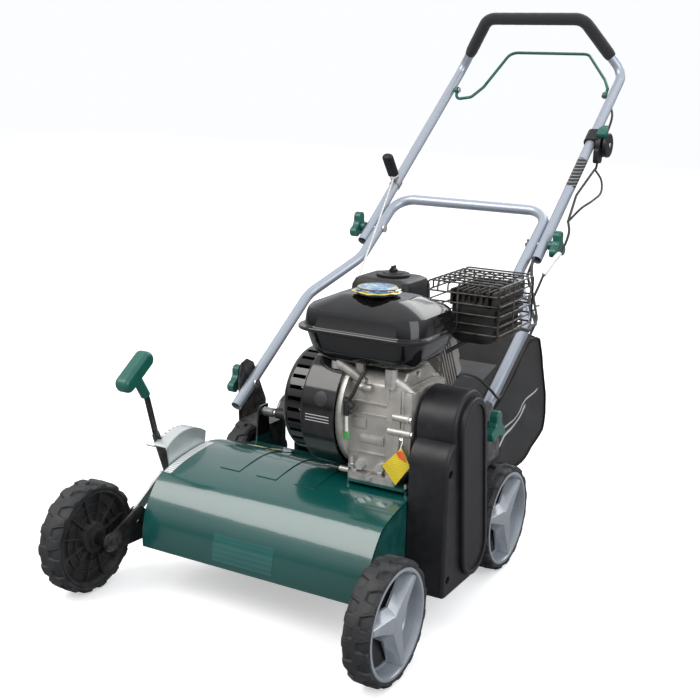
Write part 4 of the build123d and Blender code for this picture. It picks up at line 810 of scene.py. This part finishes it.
FILM_GRAIN = dict(vary=.2, patch=50, bump=.9, grain=130)
FILM_BLUE = material("cap_film_blue", (.006, .15, .42), rough=.16, coat=.9, depth=.0012,
                     pattern=pale_blotches, **FILM_GRAIN)
FILM_YELLOW = material("cap_film_yellow", (.62, .50, .10), rough=.2, coat=.8, depth=.0008,
                       **FILM_GRAIN)
add("cap_film", crumpled_film(37.5, 564.6, 559.5, .9, seed=.4), FILM_BLUE, "cap", angle=70)
add("cap_film_edge", crumpled_film(41.5, 560.2, 556.4, 1.3, seed=2.1), FILM_YELLOW, "cap",
    angle=70)

# ---------------------------------------------------------------- air filter
# stepped box (z, half width, half depth, corner radius), round plate and nut (radius, z)
FILTER_ROWS = ((470, 60, 50, 14), (484, 61, 51, 14), (485, 66, 56, 16), (491, 66, 56, 16),
               (492, 62, 52, 15), (532, 60, 50, 15), (543, 55, 45, 14), (547, 47, 38, 12))
FILTER_PLATE = ((.01, 546), (30, 546), (31, 548), (31, 551), (29.5, 552.5), (20, 552.5),
                (19, 554.5), (.01, 554.5))
FILTER_NUT = ((.01, 554.6), (7.5, 554.6), (8, 556), (7.6, 560), (5, 561), (.01, 561))
NUT_X, FILTER_Y = 75, 420
add("filter_housing", join([rounded_box(FILTER_ROWS, 71, FILTER_Y, 12),
                            lathe_z(FILTER_PLATE, NUT_X, FILTER_Y)]),
    PLASTIC, "chassis", angle=32, replaces="air_filter")
add("filter_wing_nut", join([lathe_z(FILTER_NUT, NUT_X, FILTER_Y, 24),
                             box((73.2, 411.5, 558), (76.8, 428.5, 566), 1.5)]),
    PLASTIC, "filter_nut", replaces="air_filter_knob")


# ---------------------------------------------------------------- labels
def surface_tree(part):
    data = PARTS[part].data
    data.calc_loop_triangles()
    return BVHTree.FromPolygons([v.co for v in data.vertices],
                                [t.vertices[:] for t in data.loop_triangles])


def hit_surface(tree, origin, direction):
    """Point hit and the normal facing the ray, or None."""
    point, normal = tree.ray_cast(origin, direction)[:2]
    if point is None:
        return None
    return point, normal if normal.dot(direction) < 0 else -normal


def label(name, part, corner, across, along, direction, cells, finish, lift):
    """Thin sheet projected on to a part; left out if any ray misses the part."""
    tree = surface_tree(part)
    columns, rows = cells
    points = []
    for j in range(rows + 1):
        for i in range(columns + 1):
            origin = corner + Vector(across) * (i / columns) + Vector(along) * (j / rows)
            hit = hit_surface(tree, origin, Vector(direction))
            if hit is None:
                return
            points.append(hit[0] + hit[1] * lift)
    points += [p + Vector(direction) * (lift * .6) for p in points]
    add(name, (points, sheet_faces(columns, rows, (3, 2, 1, 0))), finish, "chassis", angle=60)


PRINT = dict(patch=30, bump=.1, grain=500)
CLEAR = material("clear_label", (.010, .098, .088), rough=.14, coat=.8, vary=.06, patch=30,
                 bump=.4, grain=120, depth=.0002, spread=.06,
                 pattern=bars((.022, .125, .115), "Z", scale=34, threshold=.90))
SCALE = material("scale_strip", (.72, .74, .74), rough=.25, coat=.3, vary=.04, spread=.06,
                 pattern=bars((.05, .05, .05), "Y", scale=60, threshold=.9), **PRINT)
NOTE = material("small_label", (.78, .78, .70), rough=.3, coat=.3, vary=.05, spread=.06,
                pattern=bars((.72, .52, .03), "X", scale=22, threshold=.6), **PRINT)
DRUM = material("drum_label", (.008, .008, .009), rough=.25, coat=.4, vary=.05, spread=.06,
                pattern=bars((.55, .55, .56), "Z", scale=62, threshold=.80), **PRINT)
YELLOW = material("tag_yellow", (.80, .62, .03), rough=.42, coat=.2, vary=.06, patch=50,
                  bump=.4, grain=200, depth=.0004,
                  pattern=bars((.30, .22, .02), "Z", scale=95, threshold=.93))
RED = material("tag_red", (.75, .10, .03), rough=.45, coat=.1, vary=.06, patch=50, bump=.3,
               grain=300, depth=.0002)

BACKWARD, DOWN = (0, 1, 0), (0, 0, -1)
label("deck_label", "deck_shell", pos(-60, -60, 95), (.122, 0, 0), (0, 0, .047), BACKWARD,
      (12, 8), CLEAR, .0005)
label("depth_scale", "deck_shell", pos(-209, 104, 400), (.016, 0, 0), (0, .13, 0), DOWN,
      (2, 20), SCALE, .0004)
label("deck_note", "deck_shell", pos(-160, 292, 400), (.062, 0, 0), (0, .030, 0), DOWN,
      (6, 5), NOTE, .0004)
label("drum_label_plate", "fan_cover", pos(52, 60, 336), (.046, 0, 0), (0, 0, .013), BACKWARD,
      (5, 5), DRUM, .0004)


def drum_plug():
    """Round plug set square on the fan cover; left out if the ray misses."""
    hit = hit_surface(surface_tree("fan_cover"), pos(80, 60, 376), Vector(BACKWARD))
    if hit is None:
        return
    centre, normal = hit
    facing = normal.to_track_quat("Z", "Y").to_matrix()
    # radius, height in metres
    profile = ((.0001, .0012), (.0118, .0012), (.0130, .0006), (.0132, -.0012))
    mesh = turn(lambda a: [centre + facing @ Vector((r * math.cos(a), r * math.sin(a), height))
                           for r, height in profile], 32)
    finish = material("drum_plug", (.022, .022, .024), rough=.45, patch=40, bump=.5)
    add("drum_plug", mesh, finish, "chassis")


drum_plug()


# ---------------------------------------------------------------- hang tag
def bent_plate(corners, thickness, bend, cells):
    """Four-cornered sheet, bowed by `bend` metres."""
    a, b, c, d = corners
    normal = (b - a).cross(d - a).normalized()
    points = []
    for layer in (0, 1):
        for j in range(cells + 1):
            for i in range(cells + 1):
                u, w = i / cells, j / cells
                flat = a * (1 - u) * (1 - w) + b * u * (1 - w) + c * u * w + d * (1 - u) * w
                bow = bend * math.sin(math.pi * u) * (.4 + w)
                points.append(flat + normal * (bow + layer * thickness))
    return points, sheet_faces(cells, cells, (0, 3, 2, 1))


TAG = [pos(214, 186, 243), pos(240, 186, 280), pos(222, 188, 309), pos(187, 187, 272)]
TAG_SPOT = [pos(219, 184.2, 293), pos(233, 184.4, 287), pos(224, 185.6, 305),
            pos(213, 185.4, 301)]
TAG_TIE = [pos(219, 186, 304), pos(222, 190, 318), pos(218, 196, 330), pos(214, 197, 328)]
add("hang_tag", bent_plate(TAG, .0005, .002, 8), YELLOW, "chassis")
add("tag_spot", bent_plate(TAG_SPOT, .0004, .001, 4), RED, "chassis")
add("tag_tie", sweep(spline(TAG_TIE, 6), .0008, 6), WHITE, "chassis")

# band round the +x tube of the upper handle
HANDLE_LABEL = material("handle_label", (.012, .012, .013), rough=.3, coat=.3, vary=.05,
                        spread=.08, pattern=bars((.5, .5, .52), "Z", scale=48, threshold=.92),
                        **PRINT)
add("handle_label", sweep([upper(s, 205) for s in (172, 180, 200, 220, 240, 254, 262)],
                          .01118, 28), HANDLE_LABEL, "handle_up")


# ---------------------------------------------------------------- rope and cables
def cable(name, path, radius, sides=10, body=None, blend=None, finish=RUBBER):
    """Rides one body; given a blend (first body, second body, start, end), it rides no body and is
    not blended between the two.
    """
    item = add(name, sweep(path, radius, sides), finish, body)
    if blend:
        first, second, start, end = blend
        tuple(start)
        tuple(end)
        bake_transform(item)


def sagging(start, end, first_step):
    """Half of the rope, 24 of its 48 steps, hanging 6 mm at the middle of the whole."""
    path = straight(start, end, 24)
    for i, point in enumerate(path):
        point.z -= .006 * math.sin(math.pi * (first_step + i) / 48)
    return path


ROPE = material("starter_rope", (.66, .66, .64), rough=.7, vary=.3, patch=300, bump=1.,
                grain=1200, depth=.0003)
ROPE_RADIUS = .0019
GRIP_ALONG, GRIP_X = 145, -203          # pull grip on the upper handle
ROPE_EYE = upper(GRIP_ALONG, GRIP_X, 22)
ROPE_START = pos(-3, 330, 408)
ROPE_MIDDLE = ROPE_START + (ROPE_EYE - ROPE_START) * .50
ROPE_WAY = (ROPE_EYE - ROPE_START).normalized()

rope = sagging(ROPE_START, ROPE_MIDDLE, 0)
cable("rope_lower_run", rope, ROPE_RADIUS, finish=ROPE,
      blend=("chassis", "handle_low", rope[1], rope[-2]))
rope = sagging(ROPE_MIDDLE, ROPE_EYE, 24)
cable("rope_upper_run", rope, ROPE_RADIUS, finish=ROPE,
      blend=("handle_low", "handle_up", rope[1], rope[-2]))
stub, grip = upper(GRIP_ALONG, GRIP_X, 19), upper(GRIP_ALONG, GRIP_X, 32)
cable("rope_at_grip", straight(stub, grip, 20), ROPE_RADIUS, finish=ROPE,
      blend=("handle_up", "pull_grip", stub + (grip - stub) * .1, stub + (grip - stub) * .9))
add("rope_outlet", sweep([ROPE_START - ROPE_WAY * .012, ROPE_START + ROPE_WAY * .004],
                         [.0052, .0046], 16), PLASTIC, "chassis")
# white ring at the base of the pull grip
cable("grip_ring", [upper(GRIP_ALONG, GRIP_X, off) for off in (22.6, 24, 29, 31.5)],
      [.0096, .0108, .0108, .0096], 24, "pull_grip", finish=WHITE)

cable("clutch_cable_top",
      spline([upper(476, 197, -14), upper(462, 208, -17), upper(430, 219, -16),
              upper(385, 220, -22), upper(330, 214, -34), upper(292, 224, -34),
              upper(272, 228, -29)], 8), .0026, body="handle_up")
cable("throttle_cable_top",
      spline([upper(272, 226, -30), upper(250, 246, -40), upper(200, 262, -30),
              upper(150, 262, -8), upper(110, 252, 6), upper(62, 240, 12)], 8),
      .0024, body="handle_up")
cable("cable_at_fold",
      spline([upper(62, 240, 12), upper(36, 250, 9), upper(8, 252.5, 7),
              lower(474, 252.5, 8), lower(452, 251, 9.8)]), .0026,
      blend=("handle_up", "handle_low", upper(40, 243, 8), lower(462, 243, 9)))
cable("cable_mid",
      spline([lower(452, 251, 9.8), lower(430, 248, 12.6), lower(388, 244, 15.6),
              lower(360, 240, 6), lower(333, 238, 1), lower(312, 236, 2)], 8),
      .0026, body="handle_low")
cable("cable_spring_sleeve",
      spline([lower(456, 251.2, 9.5), lower(452, 251, 9.8), lower(430, 248, 12.6),
              lower(392, 244.3, 15.4), lower(384, 243.6, 15)], 6),
      [.0030] + [.0052] * 6 + [.0058] * 12 + [.0052] * 5 + [.0030], 16, "handle_low",
      finish=WHITE)
cable("clutch_cable_low",
      spline([lower(92, 269, 4), lower(60, 269, 10), pos(266, 452, 352), pos(258, 408, 384),
              pos(252, 360, 402), pos(252, 330, 403)]), .0026,
      blend=("handle_low", "chassis", lower(80, 269, 6), pos(255, 385, 394)))
cable("throttle_cable_low",
      spline([lower(318, 238, 17), lower(296, 246, 17), lower(262, 268, 6),
              pos(279, 600, 446), pos(290, 556, 448), pos(293, 500, 462), pos(284, 430, 470),
              pos(256, 372, 462), pos(222, 345, 440)]), .0036, 12,
      blend=("handle_low", "chassis", lower(280, 256, 12), pos(293, 500, 462)))
cable("throttle_cable_mid",
      spline([lower(438, 202, 8), lower(400, 212, 14), lower(350, 232, 16),
              lower(318, 238, 17)], 8), .0032, body="handle_low")


def cable_tie():
    """Oval loop round tube and cable, with its tail."""
    centre = lower(308, 226, 2)
    across = Vector((1, 0, 0))
    off_tube = (lower(0, 0, 1) - lower(0, 0, 0)).normalized()
    loop = [centre + across * (.0215 * math.cos(a)) + off_tube * (.0180 * math.sin(a))
            + across * .003 for a in angles(28)]
    tail = [centre + across * .022, centre + across * .034 + off_tube * .004]
    add("cable_tie", join([sweep(loop, .0016, 8, closed=True), sweep(tail, .0016, 8)]),
        RUBBER, "handle_low")


cable_tie()

# ---------------------------------------------------------------- throttle and flap spring
SCREW_SPOT = upper(337) * 1000
SCREW = ((243.6, .01), (243.6, 4.4), (244.6, 4.8), (245.4, 4.2), (245.4, .01))  # x, radius
add("throttle_screw", lathe_x(SCREW, SCREW_SPOT.y + CENTRE_Y + 4, SCREW_SPOT.z - 12, 24),
    ZINC, "handle_up")

# low corner, high corner (x, along, off the upper tube), chamfer
PADDLE = (((230.7, 329, -20), (235.3, 343, 14), 2), ((219, 326, 12), (241, 352, 25), 4.5),
          ((222, 346, 14), (238, 362, 21), 3))
add("throttle_paddle", join([box(*row, place=lambda x, along, off: upper(along, x, off))
                             for row in PADDLE]),
    GREEN_PLASTIC, "throttle", angle=40, replaces="throttle_lever")

add("spring_leg", sweep(spline([pos(-182, 428, 247), pos(-186, 450, 262),
                                pos(-186, 490, 276)], 6), .0013, 8),
    STEEL, "flap")

# ---------------------------------------------------------------- collection bag
# y, z round the side of the bag, from the bottom of the mouth
BAG_OUTLINE = [
    (530, 110), (530, 260), (585, 279), (632, 297), (668, 322), (702, 350), (738, 376),
    (770, 395), (800, 393), (824, 386), (850, 340), (868, 300), (888, 245), (903, 195),
    (900, 172), (893, 158), (850, 140), (800, 124), (750, 113), (690, 104), (640, 100),
    (585, 104)]
BAG_LEFT, BAG_RIGHT = -192, 216
OUTLINE_STEPS = 3                       # points per outline edge
BAG_COLUMNS = 35
END_RINGS = 9
RING = len(BAG_OUTLINE) * OUTLINE_STEPS
LAST_RING = (BAG_COLUMNS - 1) * RING
SEAM_POINT = BAG_OUTLINE.index((800, 393)) * OUTLINE_STEPS


def bag_mesh():
    """Closed bag: rings of the outline along x, slightly smaller at both ends."""
    middle = Vector((sum(p[0] for p in BAG_OUTLINE) / len(BAG_OUTLINE),
                     sum(p[1] for p in BAG_OUTLINE) / len(BAG_OUTLINE)))
    profile = []
    for start, end in zip(BAG_OUTLINE, BAG_OUTLINE[1:] + BAG_OUTLINE[:1]):
        for k in range(OUTLINE_STEPS):
            t = k / OUTLINE_STEPS
            profile.append((start[0] + (end[0] - start[0]) * t,
                            start[1] + (end[1] - start[1]) * t))
    rows = []
    for x in np.linspace(BAG_LEFT, BAG_RIGHT, BAG_COLUMNS):
        edge = min(x - BAG_LEFT, BAG_RIGHT - x)
        shrink = 1 - .045 * (1 - smooth_step(edge / 26))
        rows.append([pos(x, middle[0] + (y - middle[0]) * (shrink if y > 560 else 1),
                         middle[1] + (z - middle[1]) * shrink) for y, z in profile])
    points, faces = skin(rows, close_columns=True)
    # end panels: rings that close towards their middle
    middle_y, middle_z = (middle[0] - CENTRE_Y) / 1000, middle[1] / 1000
    for first, x in ((0, BAG_LEFT), (LAST_RING, BAG_RIGHT)):
        before = first
        for k in range(1, END_RINGS):
            scale = 1 - k / END_RINGS
            start = len(points)
            for p in points[first:first + RING]:
                points.append(Vector((p.x, middle_y + (p.y - middle_y) * scale,
                                      middle_z + (p.z - middle_z) * scale)))
            for j in range(RING):
                after = (j + 1) % RING
                faces.append((before + j, before + after, start + after, start + j))
            before = start
        points.append(Vector((x / 1000, middle_y, middle_z)))
        for j in range(RING):
            faces.append((before + j, before + (j + 1) % RING, len(points) - 1))
    return points, faces


def inflate(shell, rest):
    """Cloth points after a short puff of pressure, pinned near the mouth."""
    pins = shell.vertex_groups.new(name="pin")
    for i, p in enumerate(rest):
        y = p[1] * 1000 + CENTRE_Y
        weight = 1.0 if y < 560 else max(0., 1 - (y - 560) / 90)
        if weight > 0:
            pins.add([i], weight, "REPLACE")
    cloth = shell.modifiers.new("cloth", "CLOTH")
    settings = cloth.settings
    settings.quality = 5
    settings.mass = .25
    settings.tension_stiffness = 12
    settings.compression_stiffness = 6
    settings.shear_stiffness = 4
    settings.bending_stiffness = .4
    settings.use_pressure = True
    settings.uniform_pressure_force = 1.6
    settings.vertex_group_mass = "pin"
    settings.effector_weights.gravity = .35
    cloth.collision_settings.use_collision = False
    cloth.collision_settings.use_self_collision = False
    scene = bpy.context.scene
    for frame in range(1, 22):
        scene.frame_set(frame)
    posed = shell.evaluated_get(bpy.context.evaluated_depsgraph_get())
    result = np.array([tuple(v.co) for v in posed.to_mesh().vertices])
    posed.to_mesh_clear()
    shell.modifiers.remove(cloth)
    shell.vertex_groups.clear()
    scene.frame_set(1)
    return result


def wrinkle(rest, inflated):
    """Limits how far the cloth moved and adds fixed soft wrinkles."""
    limit = .011
    move = inflated - rest
    length = np.linalg.norm(move, axis=1)
    move *= np.where(length > limit, limit / np.maximum(length, 1e-9), 1.0)[:, None]
    x, y, z = rest[:, 0], rest[:, 1] + CENTRE_Y / 1000, rest[:, 2]
    height = .0016 * smooth_step((y - .56) / .08)
    waves = (np.sin(x * 38 + z * 21) * np.sin(y * 33 - x * 13)
             + .6 * np.sin(z * 71 + y * 37 + x * 9))
    outward = rest - np.array(pos(12, 710, 235))
    outward /= np.maximum(np.linalg.norm(outward, axis=1), 1e-6)[:, None]
    points = rest + move + outward * (height * waves)[:, None]
    # stays below the flap and between its sideways limits
    front = points[:, 1] * 1000 + CENTRE_Y < 640
    points[front, 2] = np.minimum(points[front, 2], rest[front, 2])
    points[:, 0] = np.clip(points[:, 0], -.206, .230)
    return points


def open_mouth(shell):
    """Creases the two end rings and cuts the mouth out of the front face."""
    work = bmesh.new()
    work.from_mesh(shell.data)
    crease = work.edges.layers.float.new("crease_edge")
    rims = set(range(RING)) | set(range(LAST_RING, LAST_RING + RING))
    for edge in work.edges:
        if all(vert.index in rims for vert in edge.verts):
            edge[crease] = 1.0
    mouth = []
    for face in work.faces:
        centre = face.calc_center_median()
        if centre.y * 1000 + CENTRE_Y < 531.5 and 116 < centre.z * 1000 < 254:
            mouth.append(face)
    bmesh.ops.delete(work, geom=mouth, context="FACES")
    work.to_mesh(shell.data)
    work.free()


def thicken(shell):
    smoother = shell.modifiers.new("sub", "SUBSURF")
    smoother.levels = 1
    smoother.render_levels = 1
    thick = shell.modifiers.new("thick", "SOLIDIFY")
    thick.thickness = .0016
    thick.offset = -1
    bpy.context.view_layer.objects.active = shell
    for modifier in ("sub", "thick"):
        with bpy.context.temp_override(object=shell, active_object=shell):
            bpy.ops.object.modifier_apply(modifier=modifier)
    for polygon in shell.data.polygons:
        polygon.use_smooth = True


def bag():
    shell = add("bag_fabric_shell", bag_mesh(), FABRIC, angle=180)
    rest = np.array([tuple(v.co) for v in shell.data.vertices])
    points = wrinkle(rest, inflate(shell, rest))
    for vert, point in zip(shell.data.vertices, points):
        vert.co = point
    open_mouth(shell)
    thicken(shell)
    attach(shell, "bag")
    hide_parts("collection_bag")
    for side, first, shift in (("left", 0, -.0012), ("right", LAST_RING, .0012)):
        path = [Vector(p) + Vector((shift, 0, 0)) for p in points[first:first + RING]]
        add("bag_piping_" + side, sweep(path, .0026, 8, closed=True), PIPING, "bag", angle=80)
    path = [Vector(p) + Vector((0, 0, .0008)) for p in points[SEAM_POINT:LAST_RING + RING:RING]]
    add("bag_top_seam", sweep(path, .0021, 8), PIPING, "bag", angle=80)


def bag_strap():
    """Flat carrying strap on top of the bag."""
    path = spline([pos(-60, 742, 381), pos(-58, 738, 396), pos(-30, 736, 408),
                   pos(12, 735, 411), pos(54, 736, 408), pos(82, 738, 396),
                   pos(84, 742, 381)], 8)
    section = ((-.013, 0), (.013, .006), (.0128, .0078), (-.0132, .0018))   # y, z in metres
    add("bag_strap", loft([[p + Vector((0, y, z)) for y, z in section] for p in path]),
        PIPING, "bag", angle=50)


bag()
bag_strap()


# ---------------------------------------------------------------- floor
def floor():
    """Pale, faintly glowing floor to the camera; a darker matt one to all other rays."""
    data = bpy.data.meshes.new("floor")
    data.from_pydata([(-9, -9, 0), (9, -9, 0), (9, 9, 0), (-9, 9, 0)], [], [(0, 1, 2, 3)])
    item = link("floor", data)
    pale = material("floor_pale", (.82, .82, .82), rough=.9, vary=.01, patch=2, spread=.02)
    shader = Shader(pale.node_tree)
    surface = shader.tree.nodes["Principled BSDF"]
    shader.put((1, 1, 1), surface.inputs["Emission Color"])
    shader.put(.42, surface.inputs["Emission Strength"])
    camera_ray = shader.node("LightPath")[0]
    dim = shader.node("BsdfDiffuse", {"Color": (.30, .30, .31)})[0]
    mixed = shader.node("MixShader", {0: camera_ray, 1: dim, 2: surface.outputs[0]})[0]
    shader.put(mixed, shader.tree.nodes["Material Output"].inputs["Surface"])
    data.materials.append(pale)


floor()


# ---------------------------------------------------------------- world and lights
def studio_world():
    """Sky that brightens upwards; plain full brightness to the camera."""
    world = bpy.data.worlds.new("studio")
    bpy.context.scene.world = world
    world.use_nodes = True
    shader = Shader(world.node_tree)
    background = shader.tree.nodes["Background"]
    height = shader.xyz(shader.node("TexCoord")["Generated"])[2]
    glow = shader.remap(height, -.02, .30, .16, .95)
    camera_ray = shader.node("LightPath")["Is Camera Ray"]
    strength = shader.node("Mix", {0: camera_ray, 2: glow, 3: 1.0}, data_type="FLOAT")[0]
    shader.put((.97, .985, 1.0), background.inputs[0])
    shader.put(strength, background.inputs[1])


def area_light(name, place, target, size, power, colour=(1, 1, 1)):
    """Square light at `place` aimed at `target`, in scene metres."""
    data = bpy.data.lights.new(name, "AREA")
    data.size = size
    data.energy = power
    data.color = colour
    item = link(name, data)
    item.location = place
    item.rotation_euler = (Vector(target) - Vector(place)).to_track_quat("-Z", "Y").to_euler()


studio_world()
area_light("key", (-1.6, -2.4, 3.0), (0, 0, .3), size=2.2, power=75, colour=(1, .98, .95))
area_light("fill", (2.8, -1.2, 1.6), (0, 0, .4), size=2.2, power=38, colour=(.95, .97, 1))
area_light("back", (.2, 3.0, 2.6), (0, 0, .5), size=2.6, power=55)


# ---------------------------------------------------------------- camera
def camera(place, azimuth, elevation, roll, lens):
    """Camera turned by angles in degrees; azimuth runs from -y towards +x."""
    azimuth, elevation, roll = map(math.radians, (azimuth, elevation, roll))
    back = Vector((math.sin(azimuth) * math.cos(elevation),
                   -math.cos(azimuth) * math.cos(elevation), math.sin(elevation)))
    level = Vector((math.cos(azimuth), math.sin(azimuth), 0))
    upright = back.cross(level)
    right = level * math.cos(roll) + upright * math.sin(roll)
    top = level * (-math.sin(roll)) + upright * math.cos(roll)
    data = bpy.data.cameras.new("photo_view")
    data.sensor_width = 36
    data.sensor_fit = "HORIZONTAL"
    data.lens = lens
    item = link("photo_view", data)
    item.matrix_world = Matrix((right, top, back, place)).transposed().to_4x4() if False else \
        Matrix([(right[i], top[i], back[i], place[i]) for i in range(3)] + [(0, 0, 0, 1)])
    bpy.context.scene.camera = item


camera(pos(1043.97, -1437.87, 928.69), azimuth=29.62, elevation=14.04, roll=1.38, lens=59.77)
bpy.context.scene.view_settings.view_transform = "Standard"
bpy.context.scene.view_settings.look = "None"
